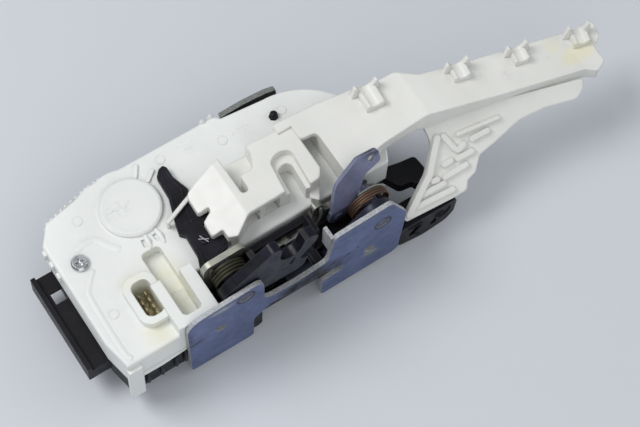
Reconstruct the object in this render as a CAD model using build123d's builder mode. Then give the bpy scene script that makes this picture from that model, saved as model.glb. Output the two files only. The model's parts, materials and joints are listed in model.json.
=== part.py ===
from build123d import *
import os
from math import acos, atan2, cos, degrees, hypot, pi, radians, sin, sqrt

os.makedirs("parts", exist_ok=True)

# Vehicle door latch with its locking actuator, in millimetres.
# X runs along the housing towards the guide arm, Y away from the latch face, Z up.
# The origin is the centre line of the striker mouth, on the latch plate's outer face.

# Latch plate
PLATE_T = 2.0
PLATE_LEFT = -51.0
PLATE_RIGHT = 52.0
PLATE_TOP = 23.0
PLATE_BOTTOM = -29.0
MOUTH_HALF = 15.5
LIP_TOP = 3.0
LIP_BOTTOM = -6.0
FLANGE_DEPTH = 5.0
FIX_R = 2.5
FIX_COLLAR_R = 4.4
FIX_COLLAR_H = 2.5
FIX_LEFT = (-36.0, 0.5)
FIX_RIGHT = (35.2, -8.0)

# Layers behind the latch plate
CLAW_Y = 2.6
CLAW_T = 4.6
SPRING_Y = 7.8
SPRING_WIRE_R = 0.9
BACK_PLATE_Y = 16.0
BACK_PLATE_T = 2.5
RUNNING_GAP = 0.06
PART_GAP = 0.3

# Claw and pawl
CLAW_PIN = (-24.3, 17.0)
PAWL_PIN = (40.6, 10.7)
PIN_R = 4.0
PIN_NECK_R = 3.0
STRIKER_R = 4.5
SEAT_REACH = 25.5
SEAT_ANGLE = 28.0
CLAW_SWEEP = 42.0
CLAW_HUB_R = 8.5
CLAW_RIM_R = 31.0
CLAW_COAT = 0.8
PAWL_HUB_R = 7.5
PAWL_LIFT = 6.0

# Housing: black base and white cover
HOUSE_LEFT = -79.0
HOUSE_FRONT = 2.2
HOUSE_REAR = 77.5
LATCH_BAY_Y = 22.0
LATCH_BAY_X = -49.0
ROUND_END = (30.0, 40.0)
ROUND_END_R = 33.5
BUMP = (-42.0, 62.0)
BUMP_R = 16.5
BASE_BOTTOM = -22.0
SPLIT_Z = -6.0
COVER_TOP = 10.0
WALL = 2.0
COVER_T = 2.5
BASE_INSET = 1.0

# Gear train under the dome
WHEEL_CENTRE = (-41.3, 59.5)
WHEEL_TEETH = 28
GEAR_MODULE = 0.8
WHEEL_T = 3.0
WHEEL_Z = -6.0
WHEEL_BORE_R = 2.5
WORM_PITCH_R = 3.2
MOTOR_R = 10.0
MOTOR_LENGTH = 26.0
SHAFT_R = 1.0
DOME_R = 13.0
DOME_H = 2.0

# Connector
SOCKET = (-56.0, 21.5)
SOCKET_W = 8.0
SOCKET_L = 16.0
SHROUD_WALL = 3.0
SHROUD_TOP = 14.0
SOCKET_FLOOR = -2.0
TERMINALS = 4
TERMINAL_PITCH = 3.2

# Guide arm and cable block
BLOCK_TOP = 22.0
ARM_TOP = 23.0
ARM_T = 2.5


def facing(y):
    """Plane parallel to the latch face, y behind it, with local x along X and local y along Z."""
    return Plane.XZ.offset(-y)


def polar(centre, reach, angle):
    """Point at a reach and an angle in degrees from a centre."""
    return (centre[0] + reach * cos(radians(angle)), centre[1] + reach * sin(radians(angle)))


def turned(point, centre, angle):
    """Point turned about a centre by an angle in degrees."""
    dx, dy = point[0] - centre[0], point[1] - centre[1]
    c, s = cos(radians(angle)), sin(radians(angle))
    return (centre[0] + c * dx - s * dy, centre[1] + s * dx + c * dy)


def link(a, a_r, b, b_r, mode=Mode.ADD):
    """Add to a sketch the tapered link between two round ends."""
    along = degrees(atan2(b[1] - a[1], b[0] - a[0]))
    spread = degrees(acos((a_r - b_r) / hypot(b[0] - a[0], b[1] - a[1])))
    with Locations(a):
        Circle(a_r, mode=mode)
    with Locations(b):
        Circle(b_r, mode=mode)
    corners = [
        polar(a, a_r, along - spread),
        polar(b, b_r, along - spread),
        polar(b, b_r, along + spread),
        polar(a, a_r, along + spread),
    ]
    Polygon(*corners, align=None, mode=mode)


def save(part, name):
    """Label a finished piece and write it as its own STEP file."""
    part.label = name
    export_step(part, f"parts/{name}.step")


# Latch plate: pressed steel face with the striker mouth and its lip
with BuildPart() as latch_plate:
    with BuildSketch(facing(0)):
        with BuildLine():
            FilletPolyline(
                (PLATE_LEFT + 1, PLATE_BOTTOM + 1),
                (PLATE_LEFT, PLATE_TOP - 3),
                (-MOUTH_HALF - 0.5, PLATE_TOP),
                (-MOUTH_HALF, LIP_TOP),
                (0, LIP_TOP - 1),
                (MOUTH_HALF - 1, LIP_TOP + 1),
                (MOUTH_HALF + 1.5, PLATE_TOP),
                (PLATE_RIGHT - 8, PLATE_TOP + 2),
                (PLATE_RIGHT + 0.5, 8),
                (PLATE_RIGHT - 1, PLATE_BOTTOM + 2),
                (12.5, PLATE_BOTTOM + 1),
                (12.5, -14.5),
                (22.5, -13.0),
                (22.5, LIP_BOTTOM - 3),
                (12, LIP_BOTTOM),
                (-2, LIP_BOTTOM - 0.5),
                (-12, LIP_BOTTOM + 1.5),
                (-20.5, LIP_BOTTOM - 5),
                (-20.2, PLATE_BOTTOM + 1),
                radius=[2, 8, 4, 5, 6, 4, 3, 3, 3, 4, 2, 1.5, 1.5, 1.5, 6, 6, 5, 3, 2],
                close=True,
            )
        make_face()
        with Locations(FIX_LEFT, FIX_RIGHT):
            Circle(FIX_R, mode=Mode.SUBTRACT)
        with Locations(CLAW_PIN, PAWL_PIN):
            Circle(PIN_NECK_R, mode=Mode.SUBTRACT)
    extrude(amount=-PLATE_T)
    # collars drawn out of the plate behind the two fixing holes
    with BuildSketch(facing(PLATE_T)):
        with Locations(FIX_LEFT, FIX_RIGHT):
            Circle(FIX_COLLAR_R)
            Circle(FIX_R, mode=Mode.SUBTRACT)
    extrude(amount=-FIX_COLLAR_H)
    # guide flange turned in along the mouth's right edge
    with BuildSketch(Plane.XY.offset(LIP_TOP + 6)):
        with Locations((MOUTH_HALF + 1.2, PLATE_T + FLANGE_DEPTH / 2 - 0.5)):
            Rectangle(PLATE_T * 0.8, FLANGE_DEPTH + 1)
    extrude(amount=PLATE_TOP - LIP_TOP - 7)
save(latch_plate.part, "latch_plate")

# Back plate: zinc-plated steel behind the mechanism
with BuildPart() as back_plate:
    with BuildSketch(facing(BACK_PLATE_Y)):
        with BuildLine():
            FilletPolyline(
                (-46, -16),
                (-46, 2),
                (-34, 2),
                (-33.5, 23),
                (-14.5, 24),
                (-13.5, LIP_TOP),
                (16, LIP_TOP + 1.5),
                (17.5, 21),
                (21.5, 21),
                (23, 13.5),
                (39, 14.2),
                (50, 5),
                (50, -12),
                radius=[3, 2, 0, 4, 2.5, 3, 5, 1.5, 1.5, 3, 5, 3, 3],
                close=True,
            )
        make_face()
        with Locations(CLAW_PIN, PAWL_PIN):
            Circle(PIN_NECK_R, mode=Mode.SUBTRACT)
    extrude(amount=-BACK_PLATE_T)
save(back_plate.part, "back_plate")


def latch_pin(place):
    """Shouldered pin riveted through both plates, with its axis along Y."""
    with BuildPart() as pin:
        with BuildSketch(facing(PLATE_T)):
            with Locations(place):
                Circle(PIN_R)
        extrude(amount=-(BACK_PLATE_Y - PLATE_T))
        with BuildSketch(facing(0.4)):
            with Locations(place):
                Circle(PIN_NECK_R)
        extrude(amount=-(BACK_PLATE_Y + BACK_PLATE_T - 0.4))
        with BuildSketch(facing(BACK_PLATE_Y + BACK_PLATE_T)):
            with Locations(place):
                Circle(PIN_R + 0.8)
        extrude(amount=-0.9)
        chamfer(pin.faces().sort_by(Axis.Y)[-1].edges(), 0.4)
    return pin.part


save(latch_pin(CLAW_PIN), "claw_pin")
save(latch_pin(PAWL_PIN), "pawl_pin")


# Claw: steel fork that turns on its pin and holds the striker, with a plastic coat round its edge
SEAT = polar(CLAW_PIN, SEAT_REACH, SEAT_ANGLE)
SLOT_ANGLE = 78.0
SLOT_R = STRIKER_R + 0.7
UPPER_TINE = polar(SEAT, 9.2, SLOT_ANGLE + 66)
OUTER_TINE = polar(SEAT, 8.8, SLOT_ANGLE - 78)
TOOTH = polar(CLAW_PIN, 26.0, SEAT_ANGLE - 40)
NOSE_HELD = polar(CLAW_PIN, 29.6, SEAT_ANGLE - CLAW_SWEEP - 27)
ELBOW_HELD = (14.0, -3.2)
NOSE_R = 2.2
ELBOW_R = 3.0


def claw_outline():
    """Add the claw's outline in the open position, without its coat line."""
    link(CLAW_PIN, CLAW_HUB_R, UPPER_TINE, 3.0)
    link(CLAW_PIN, CLAW_HUB_R, OUTER_TINE, 3.4)
    link(CLAW_PIN, CLAW_HUB_R, TOOTH, 4.0)
    link(TOOTH, 4.0, OUTER_TINE, 3.4)
    with Locations(polar(CLAW_PIN, 16, SEAT_ANGLE)):
        Circle(10)
    link(SEAT, SLOT_R, polar(SEAT, 16, SLOT_ANGLE), SLOT_R + 1, mode=Mode.SUBTRACT)


def pawl_seat():
    """Take the held pawl's nose, with its clearance, out of the open claw's outline."""
    nose = turned(NOSE_HELD, CLAW_PIN, CLAW_SWEEP)
    elbow = turned(ELBOW_HELD, CLAW_PIN, CLAW_SWEEP)
    link(nose, NOSE_R + PART_GAP, elbow, ELBOW_R + 1.2, mode=Mode.SUBTRACT)


with BuildSketch() as claw_shape:
    claw_outline()
with BuildSketch() as claw_core:
    add(claw_shape.sketch)
    offset(amount=-CLAW_COAT)
    with BuildSketch(mode=Mode.PRIVATE) as tooth_zone:
        add(claw_shape.sketch)
        with Locations(TOOTH):
            Circle(7.5, mode=Mode.INTERSECT)
    add(tooth_zone.sketch)
    pawl_seat()

with BuildPart() as claw:
    with BuildSketch(facing(CLAW_Y)):
        add(claw_core.sketch)
        with Locations(CLAW_PIN):
            Circle(PIN_R + RUNNING_GAP, mode=Mode.SUBTRACT)
    extrude(amount=-CLAW_T)
save(claw.part, "claw")

with BuildPart() as claw_coat:
    with BuildSketch(facing(CLAW_Y)):
        add(claw_shape.sketch)
        pawl_seat()
        add(claw_core.sketch, mode=Mode.SUBTRACT)
    extrude(amount=-CLAW_T)
save(claw_coat.part, "claw_coat")

# Pawl: steel catch, drawn where it holds the claw and turned back to its rest
NOSE = turned(NOSE_HELD, PAWL_PIN, PAWL_LIFT)
ELBOW = turned(ELBOW_HELD, PAWL_PIN, PAWL_LIFT)
with BuildPart() as pawl:
    with BuildSketch(facing(CLAW_Y)):
        link(PAWL_PIN, PAWL_HUB_R, ELBOW, ELBOW_R)
        link(ELBOW, ELBOW_R, NOSE, NOSE_R)
        with Locations(PAWL_PIN):
            Circle(PIN_R + RUNNING_GAP, mode=Mode.SUBTRACT)
    extrude(amount=-CLAW_T)
save(pawl.part, "pawl")


def torsion_spring(place, coil_r, turns, leg):
    """Coil of round wire about a pin's axis, with one straight leg."""
    pitch = 2 * SPRING_WIRE_R + 0.15
    start = (place[0], SPRING_Y + SPRING_WIRE_R, place[1])
    with BuildPart() as spring:
        with BuildLine() as path:
            Helix(pitch, pitch * turns, coil_r, center=start, direction=(0, 1, 0))
        wire = path.line
        axis_x = Vector(place[0], 0, place[1]) - Vector((wire @ 0).X, 0, (wire @ 0).Z)
        with BuildSketch(Plane(origin=wire @ 0, x_dir=axis_x, z_dir=wire % 0)):
            RegularPolygon(SPRING_WIRE_R, 8)
        sweep(is_frenet=True)
        axis_x = Vector(place[0], 0, place[1]) - Vector((wire @ 1).X, 0, (wire @ 1).Z)
        with BuildSketch(Plane(origin=wire @ 1, x_dir=axis_x, z_dir=wire % 1)):
            RegularPolygon(SPRING_WIRE_R, 8)
        extrude(amount=leg)
    return spring.part


save(torsion_spring(CLAW_PIN, 6.6, 1.5, 9), "claw_spring")
save(torsion_spring(PAWL_PIN, 8.4, 1.25, 4), "pawl_spring")

# Black mouldings that fill the bay between the plates: claw chamber, striker channel and latch body
CHANNEL_HALF = 15.0
CHANNEL_WALL = 2.0
CHANNEL_WALL_TOP = 20.0
CHANNEL_Z = 2.0
ARCH_Z = -13.5
BAY_LEFT = -48.0
BAY_RIGHT = 50.0
BAY_BOTTOM = PLATE_BOTTOM + 2
POCKET_Y = CLAW_Y + CLAW_T + 0.5
WING_RIGHT = 81.0
WING_TOP = -13.4
WING_BOTTOM = -31.5
BUMPER_TOP = 5.6
BUMPER_HALF = 9.0
BUMPER_Y = (9.0, 14.5)

with BuildPart() as sweep_room:
    # room in front for the claw and the pawl through their travel
    with BuildSketch(facing(PLATE_T)):
        with Locations(CLAW_PIN):
            Circle(CLAW_RIM_R + 0.8)
        link(
            turned(TOOTH, CLAW_PIN, -CLAW_SWEEP),
            5.2,
            turned(OUTER_TINE, CLAW_PIN, -CLAW_SWEEP),
            4.6,
        )
        link(PAWL_PIN, PAWL_HUB_R + 1, ELBOW_HELD, ELBOW_R + 1.2)
        link(PAWL_PIN, PAWL_HUB_R + 1, ELBOW, ELBOW_R + 2.2)
        link(ELBOW, ELBOW_R + 2.2, (NOSE[0], NOSE[1] - 0.8), NOSE_R + 1.8)
        link(ELBOW_HELD, ELBOW_R + 1, NOSE_HELD, NOSE_R + 1.5)
    extrude(amount=-(POCKET_Y - PLATE_T))
    # room for the pawl's coil
    with BuildSketch(facing(POCKET_Y)):
        with Locations(PAWL_PIN):
            Circle(11)
    extrude(amount=-(BACK_PLATE_Y - POCKET_Y))
    # clearance round the drawn collars
    with BuildSketch(facing(PLATE_T)):
        with Locations(FIX_LEFT, FIX_RIGHT):
            Circle(FIX_COLLAR_R + PART_GAP)
    extrude(amount=-(FIX_COLLAR_H + 6))

# Claw chamber: left moulding, under the claw
with BuildPart() as claw_chamber:
    with BuildSketch(facing(PLATE_T)):
        with BuildLine():
            FilletPolyline(
                (BAY_LEFT, BAY_BOTTOM),
                (BAY_LEFT, CHANNEL_Z),
                (-CHANNEL_HALF, CHANNEL_Z),
                (-CHANNEL_HALF, BAY_BOTTOM),
                radius=[2, 0, 0, 2],
                close=True,
            )
        make_face()
    extrude(amount=-(BACK_PLATE_Y - PLATE_T))
    add(sweep_room.part, mode=Mode.SUBTRACT)
save(claw_chamber.part, "claw_chamber")

# Striker channel: middle moulding, with the mouth's floor, its side walls and the bumper's pocket
with BuildPart() as striker_channel:
    with BuildSketch(facing(PLATE_T)):
        with Locations((0, (CHANNEL_Z + ARCH_Z) / 2)):
            Rectangle(2 * CHANNEL_HALF, CHANNEL_Z - ARCH_Z)
    extrude(amount=-(BACK_PLATE_Y - PLATE_T))
    add(sweep_room.part, mode=Mode.SUBTRACT)
    with BuildSketch(Plane.XY.offset(CHANNEL_Z)):
        with Locations((0, sum(BUMPER_Y) / 2)):
            Rectangle(2 * BUMPER_HALF, BUMPER_Y[1] - BUMPER_Y[0])
    extrude(amount=-7, mode=Mode.SUBTRACT)
    with BuildSketch(facing(POCKET_Y + 0.4)):
        with GridLocations(2 * CHANNEL_HALF - CHANNEL_WALL, 1, 2, 1):
            with Locations((0, (CHANNEL_Z + CHANNEL_WALL_TOP) / 2)):
                Rectangle(CHANNEL_WALL, CHANNEL_WALL_TOP - CHANNEL_Z)
    extrude(amount=-(BACK_PLATE_Y - POCKET_Y - 0.4))
save(striker_channel.part, "striker_channel")

# Latch body: right moulding, under the pawl, with the wing beyond the plate
with BuildPart() as latch_body:
    with BuildSketch(facing(PLATE_T)):
        with BuildLine():
            FilletPolyline(
                (BAY_RIGHT, BAY_BOTTOM),
                (BAY_RIGHT, CHANNEL_Z),
                (CHANNEL_HALF, CHANNEL_Z),
                (CHANNEL_HALF, BAY_BOTTOM),
                radius=[2, 0, 0, 2],
                close=True,
            )
        make_face()
    extrude(amount=-(BACK_PLATE_Y - PLATE_T))
    add(sweep_room.part, mode=Mode.SUBTRACT)
    # wing beyond the plate's right edge, with its moulded hook-shaped recesses
    with BuildSketch(facing(1.0)):
        with BuildLine():
            FilletPolyline(
                (PLATE_RIGHT + 0.8, WING_TOP),
                (WING_RIGHT, WING_TOP),
                (WING_RIGHT - 0.5, WING_BOTTOM + 7),
                (WING_RIGHT - 4, WING_BOTTOM + 2),
                (WING_RIGHT - 16, WING_BOTTOM),
                (PLATE_RIGHT + 0.8, WING_BOTTOM + 3),
                radius=[1, 2, 3, 4, 4, 2],
                close=True,
            )
        make_face()
    extrude(amount=-11)
    with BuildSketch(facing(PLATE_T)):
        with Locations(((PLATE_RIGHT + BAY_RIGHT) / 2 + 1.5, (WING_TOP + WING_BOTTOM) / 2)):
            Rectangle(PLATE_RIGHT - BAY_RIGHT + 5, WING_TOP - WING_BOTTOM - 2)
    extrude(amount=-9)
    with BuildSketch(facing(1.0)):
        with Locations((60.5, -20.5), (71.5, -21.5)):
            SlotOverall(10, 3, rotation=60)
    extrude(amount=-1.2, mode=Mode.SUBTRACT)
save(latch_body.part, "latch_body")

# Striker bumper: rubber block in the mouth's floor
with BuildPart() as striker_bumper:
    with BuildSketch(Plane.XY.offset(CHANNEL_Z - 7)):
        with Locations((0, sum(BUMPER_Y) / 2)):
            RectangleRounded(2 * BUMPER_HALF - 0.2, BUMPER_Y[1] - BUMPER_Y[0] - 0.2, 1)
    extrude(amount=BUMPER_TOP - CHANNEL_Z + 7)
    fillet(striker_bumper.faces().sort_by(Axis.Z)[-1].edges(), 1.0)
save(striker_bumper.part, "striker_bumper")

# Housing plan, shared by the base and the cover
with BuildSketch() as housing_plan:
    with BuildLine():
        round_rear = (ROUND_END[0], ROUND_END[1] + ROUND_END_R)
        round_front = (ROUND_END[0] + sqrt(ROUND_END_R**2 - (ROUND_END[1] - LATCH_BAY_Y) ** 2), LATCH_BAY_Y)
        Polyline(
            round_rear,
            (ROUND_END[0] - 19, HOUSE_REAR - 2.2),
            (ROUND_END[0] - 21, HOUSE_REAR),
            (-52, HOUSE_REAR),
            (-58, HOUSE_REAR - 2.5),
            (HOUSE_LEFT + 6, HOUSE_REAR - 5.5),
            (HOUSE_LEFT, HOUSE_REAR - 13.5),
            (HOUSE_LEFT, 15),
            (HOUSE_LEFT + 2.5, HOUSE_FRONT),
            (LATCH_BAY_X, HOUSE_FRONT),
            (LATCH_BAY_X, LATCH_BAY_Y),
            round_front,
        )
        ThreePointArc(round_front, (ROUND_END[0] + ROUND_END_R, ROUND_END[1]), round_rear)
    make_face()
    with Locations(BUMP):
        Circle(BUMP_R)
with BuildSketch() as base_plan:
    add(housing_plan.sketch)
    offset(amount=-BASE_INSET, kind=Kind.INTERSECTION)
with BuildSketch() as cavity_plan:
    add(housing_plan.sketch)
    offset(amount=-BASE_INSET - WALL, kind=Kind.INTERSECTION)

# Places shared by the base, the cover and what they carry
FLOOR = BASE_BOTTOM + WALL
CEILING = COVER_TOP - COVER_T
WORM_Y = WHEEL_CENTRE[1] - WHEEL_TEETH * GEAR_MODULE / 2 - WORM_PITCH_R - 0.1
WORM_Z = WHEEL_Z + WHEEL_T / 2
MOTOR_X = (-27.0, -27.0 + MOTOR_LENGTH)
BEARING_POSTS = (-51.0, -32.0)
POST_T = 2.0
SCREW = (-70.3, 49.4)
SCREW_R = 1.8
SCREW_HEAD_R = 3.6
SCREW_HEAD_H = 2.2
SCREW_END = -14.0
OUTER_LEVER_PIN = (16.0, -12.0)
OUTER_LEVER_Y = max(HOUSE_REAR, ROUND_END[1] + ROUND_END_R) + 3 * PART_GAP
OUTER_LEVER_T = 2.4
BOARD = (-64.0, 24.0)
BOARD_SIZE = (22.0, 25.0)
BOARD_Z = -10.0
BOARD_T = 1.6
BAY_WALL_TOP = 7.0
STRUT_Z = (-12.4, -6.4)

# Base: black tray that carries the actuator
with BuildPart() as base_housing:
    with BuildSketch(Plane.XY.offset(BASE_BOTTOM)):
        add(base_plan.sketch)
    extrude(amount=SPLIT_Z - BASE_BOTTOM)
    with BuildSketch(Plane.XY.offset(FLOOR)):
        add(cavity_plan.sketch)
    extrude(amount=SPLIT_Z - FLOOR, mode=Mode.SUBTRACT)
    # boss under the worm wheel and boss for the cover screw
    with BuildSketch(Plane.XY.offset(FLOOR)):
        with Locations(WHEEL_CENTRE):
            Circle(5)
        with Locations(SCREW):
            Circle(4)
    extrude(amount=WHEEL_Z - PART_GAP - FLOOR)
    # bearing posts and motor cradles
    with BuildSketch(Plane.YZ.offset(BEARING_POSTS[0])):
        with Locations((WORM_Y, (FLOOR + WORM_Z + 3) / 2)):
            Rectangle(8, WORM_Z + 3 - FLOOR)
    extrude(amount=POST_T)
    with BuildSketch(Plane.YZ.offset(BEARING_POSTS[1])):
        with Locations((WORM_Y, (FLOOR + WORM_Z + 3) / 2)):
            Rectangle(8, WORM_Z + 3 - FLOOR)
    extrude(amount=POST_T)
    for cradle_x in (MOTOR_X[0] + 4, MOTOR_X[1] - 6):
        with BuildSketch(Plane.YZ.offset(cradle_x)):
            with Locations((WORM_Y, (FLOOR + WORM_Z) / 2)):
                Rectangle(2 * MOTOR_R + 4, WORM_Z - FLOOR)
            with Locations((WORM_Y, WORM_Z)):
                Circle(MOTOR_R, mode=Mode.SUBTRACT)
        extrude(amount=POST_T)
    with BuildSketch(Plane.YZ.offset(BEARING_POSTS[0])):
        with Locations((WORM_Y, WORM_Z)):
            Circle(SHAFT_R + RUNNING_GAP)
    extrude(amount=BEARING_POSTS[1] + POST_T - BEARING_POSTS[0], mode=Mode.SUBTRACT)
    # pivot boss for the outside release lever
    with BuildSketch(facing(OUTER_LEVER_Y - 0.3)):
        with Locations(OUTER_LEVER_PIN):
            Circle(5)
    extrude(amount=8)
    # posts under the contact board
    with BuildSketch(Plane.XY.offset(FLOOR)):
        with Locations((BOARD[0] - 7, BOARD[1] - 8), (BOARD[0] - 7, BOARD[1] + 8), (BOARD[0] + 6, BOARD[1])):
            Circle(2.5)
    extrude(amount=BOARD_Z - FLOOR)
    # dark wall behind the striker mouth, against the back plate
    with BuildSketch(Plane.XY.offset(BASE_BOTTOM + 1)):
        with Locations((2, BACK_PLATE_Y + BACK_PLATE_T + 1.2)):
            Rectangle(30, 2.4)
    extrude(amount=BAY_WALL_TOP - BASE_BOTTOM - 1)
    with BuildSketch(Plane.XY.offset(BASE_BOTTOM + 1)):
        with Locations((2, LATCH_BAY_Y)):
            Rectangle(30, 4)
    extrude(amount=6)
    # strut that reaches from the round end towards the wing
    with BuildSketch(Plane.XY.offset(STRUT_Z[0])):
        with BuildLine():
            FilletPolyline(
                (57.6, 24.2),
                (61.4, 16),
                (67.2, 15.2),
                (68.2, 12.8),
                (75.1, 16.1),
                (74.4, 24.4),
                (67.7, 25.2),
                (58.6, 27),
                radius=[0, 3, 1, 1, 3, 2, 3, 0],
                close=True,
            )
        make_face()
    extrude(amount=STRUT_Z[1] - STRUT_Z[0])
    # bores for the pins and the screw
    with Locations(Location((*WHEEL_CENTRE, WHEEL_Z - PART_GAP))):
        Hole(WHEEL_BORE_R - RUNNING_GAP, depth=WHEEL_Z - PART_GAP - FLOOR)
    with Locations(Location((*SCREW, SPLIT_Z))):
        Hole(SCREW_R, depth=SPLIT_Z - SCREW_END)
    with BuildSketch(facing(OUTER_LEVER_Y - 0.3)):
        with Locations(OUTER_LEVER_PIN):
            Circle(2)
    extrude(amount=6, mode=Mode.SUBTRACT)
save(base_housing.part, "base_housing")

# Cover: white shell with dome, connector shroud, trench and shoulder over the latch bay
SHOULDER_X = (-53.0, -34.6)
SHOULDER_Z = (FIX_LEFT[1] + FIX_COLLAR_R + 0.5, 17.0)
TRENCH_X = (-48.5, -40.0)
TRENCH_Y = (6.0, 40.0)
TRENCH_FLOOR = 4.5
LEVER_PIVOT = (-24.3, 31.0)
LEVER_Z = COVER_TOP + PART_GAP
LEVER_T = 3.0
CORNER_Z = -21.5
with BuildPart() as actuator_cover:
    with BuildSketch(Plane.XY.offset(SPLIT_Z)):
        add(housing_plan.sketch)
    extrude(amount=COVER_TOP - SPLIT_Z)
    fillet(actuator_cover.faces().sort_by(Axis.Z)[-1].edges(), 1.2)
    # shoulder over the left end of the latch
    with BuildSketch(Plane.XY.offset(SHOULDER_Z[0])):
        with Locations((sum(SHOULDER_X) / 2, HOUSE_FRONT + 11)):
            Rectangle(SHOULDER_X[1] - SHOULDER_X[0], 22)
    extrude(amount=SHOULDER_Z[1] - SHOULDER_Z[0])
    with BuildSketch(Plane.XY.offset(SPLIT_Z)):
        add(cavity_plan.sketch)
    extrude(amount=CEILING - SPLIT_Z, mode=Mode.SUBTRACT)
    # corner skirt that wraps the base at the front left
    with BuildSketch(Plane.XY.offset(CORNER_Z)):
        with Locations((-74, 1.7)):
            Rectangle(6, 2.6)
    extrude(amount=COVER_TOP - 4 - CORNER_Z)
    # locating lugs along the left wall
    with BuildSketch(Plane.XY.offset(COVER_TOP - 7)):
        with Locations((HOUSE_LEFT - 0.4, HOUSE_REAR - 21)):
            with GridLocations(1, 5.6, 1, 3):
                Rectangle(1.4, 2.6)
    extrude(amount=4)
    # trench between the shroud and the shoulder
    with BuildSketch(Plane.XY.offset(TRENCH_FLOOR - COVER_T)):
        with Locations((sum(TRENCH_X) / 2, (TRENCH_Y[1] + LATCH_BAY_Y) / 2)):
            Rectangle(TRENCH_X[1] - TRENCH_X[0] + 4, TRENCH_Y[1] - LATCH_BAY_Y + 4)
    extrude(amount=COVER_TOP - TRENCH_FLOOR + COVER_T)
    with BuildSketch(Plane.XY.offset(TRENCH_FLOOR)):
        with Locations((sum(TRENCH_X) / 2, sum(TRENCH_Y) / 2)):
            RectangleRounded(TRENCH_X[1] - TRENCH_X[0], TRENCH_Y[1] - TRENCH_Y[0], 2)
    extrude(amount=SHOULDER_Z[1] - TRENCH_FLOOR, mode=Mode.SUBTRACT)
    # dome over the worm wheel
    with BuildSketch(Plane.XY.offset(COVER_TOP)):
        with Locations(WHEEL_CENTRE):
            Circle(DOME_R)
    extrude(amount=DOME_H, taper=20)
    # stiffening ribs beside the dome and grooves in front of it
    with BuildSketch(Plane.XY.offset(COVER_TOP)):
        link((-29.9, 74.4), 0.9, (-32.6, 70.4), 0.89)
        link((-25.4, 69.2), 0.9, (-29.2, 66.2), 0.89)
    extrude(amount=0.9)
    with BuildSketch(Plane.XY.offset(COVER_TOP)):
        link((-44, 46), 0.7, (-44.6, 42.4), 0.69)
        link((-39.3, 46), 0.7, (-38.9, 42.4), 0.69)
    extrude(amount=-0.9, mode=Mode.SUBTRACT)
    # connector shroud
    with BuildSketch(Plane.XY.offset(SOCKET_FLOOR - COVER_T)):
        with Locations(SOCKET):
            RectangleRounded(SOCKET_W + 2 * SHROUD_WALL, SOCKET_L + 2 * SHROUD_WALL, 5)
    extrude(amount=SHROUD_TOP - SOCKET_FLOOR + COVER_T)
    with BuildSketch(Plane.XY.offset(SOCKET_FLOOR)):
        with Locations(SOCKET):
            RectangleRounded(SOCKET_W, SOCKET_L, 3)
    extrude(amount=SHROUD_TOP - SOCKET_FLOOR, mode=Mode.SUBTRACT)
    # slots for the terminals in the socket's floor
    with BuildSketch(Plane.XY.offset(SOCKET_FLOOR - COVER_T)):
        with Locations(SOCKET):
            with GridLocations(3, TERMINAL_PITCH, 2, TERMINALS):
                Rectangle(0.6, 1.5)
    extrude(amount=COVER_T, mode=Mode.SUBTRACT)
    # screw boss and bore
    with BuildSketch(Plane.XY.offset(SPLIT_Z)):
        with Locations(SCREW):
            Circle(4)
    extrude(amount=COVER_TOP - SPLIT_Z)
    with Locations(Location((*SCREW, COVER_TOP))):
        Hole(SCREW_R + 0.1, depth=COVER_TOP - SPLIT_Z)
    # bore for the inside release lever's pivot
    with Locations(Location((*LEVER_PIVOT, COVER_TOP))):
        Hole(1.5, depth=COVER_T)
save(actuator_cover.part, "actuator_cover")

# Cover screw: thread-forming screw with a cross recess
with BuildPart() as cover_screw:
    with BuildSketch(Plane.XY.offset(SCREW_END)):
        with Locations(SCREW):
            Circle(SCREW_R)
    extrude(amount=COVER_TOP - SCREW_END)
    with BuildSketch(Plane.XY.offset(COVER_TOP)):
        with Locations(SCREW):
            Circle(SCREW_HEAD_R)
    extrude(amount=SCREW_HEAD_H)
    chamfer(cover_screw.faces().sort_by(Axis.Z)[-1].edges(), 0.8)
    with BuildSketch(Plane.XY.offset(COVER_TOP + SCREW_HEAD_H)):
        with Locations(SCREW):
            Rectangle(3.6, 0.9)
            Rectangle(0.9, 3.6)
    extrude(amount=-1.6, mode=Mode.SUBTRACT)
save(cover_screw.part, "cover_screw")

# Inside release lever: black plastic arm lying on the cover, with two prongs under the cable block
INSIDE_SWEEP = 4.0
LEVER_ROOM = 0.9
with BuildSketch() as lever_plan:
    with BuildLine():
        FilletPolyline(
            (-21.2, 67.7),
            (-20.2, 66.1),
            (-20.3, 61.1),
            (-17.9, 53.3),
            (-21.1, 48),
            (-21.1, 42.4),
            (-16.1, 42.4),
            (-16.1, 39.4),
            (-21.4, 37),
            (-21.2, 30.4),
            (-15.9, 30.4),
            (-17, 24.2),
            (-23.7, 21.8),
            (-27, 20.4),
            (-31, 20.4),
            (-31.4, 23),
            (-30, 26.5),
            (-29.4, 36.3),
            (-31.3, 38.3),
            (-30.3, 42.5),
            (-26.3, 54.8),
            (-25.8, 64.6),
            (-23.4, 67.1),
            radius=[1, 0.8, 3, 1.5, 2, 1, 0.8, 0.8, 1, 1, 0.8, 1, 2, 1.5, 1, 1, 3, 1, 1, 2, 4, 1.5, 1],
            close=True,
        )
    make_face()
with BuildPart() as inside_lever:
    with BuildSketch(Plane.XY.offset(LEVER_Z)):
        add(lever_plan.sketch)
        with Locations(LEVER_PIVOT):
            Circle(1.5 + RUNNING_GAP, mode=Mode.SUBTRACT)
    extrude(amount=LEVER_T)
save(inside_lever.part, "inside_lever")

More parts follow.
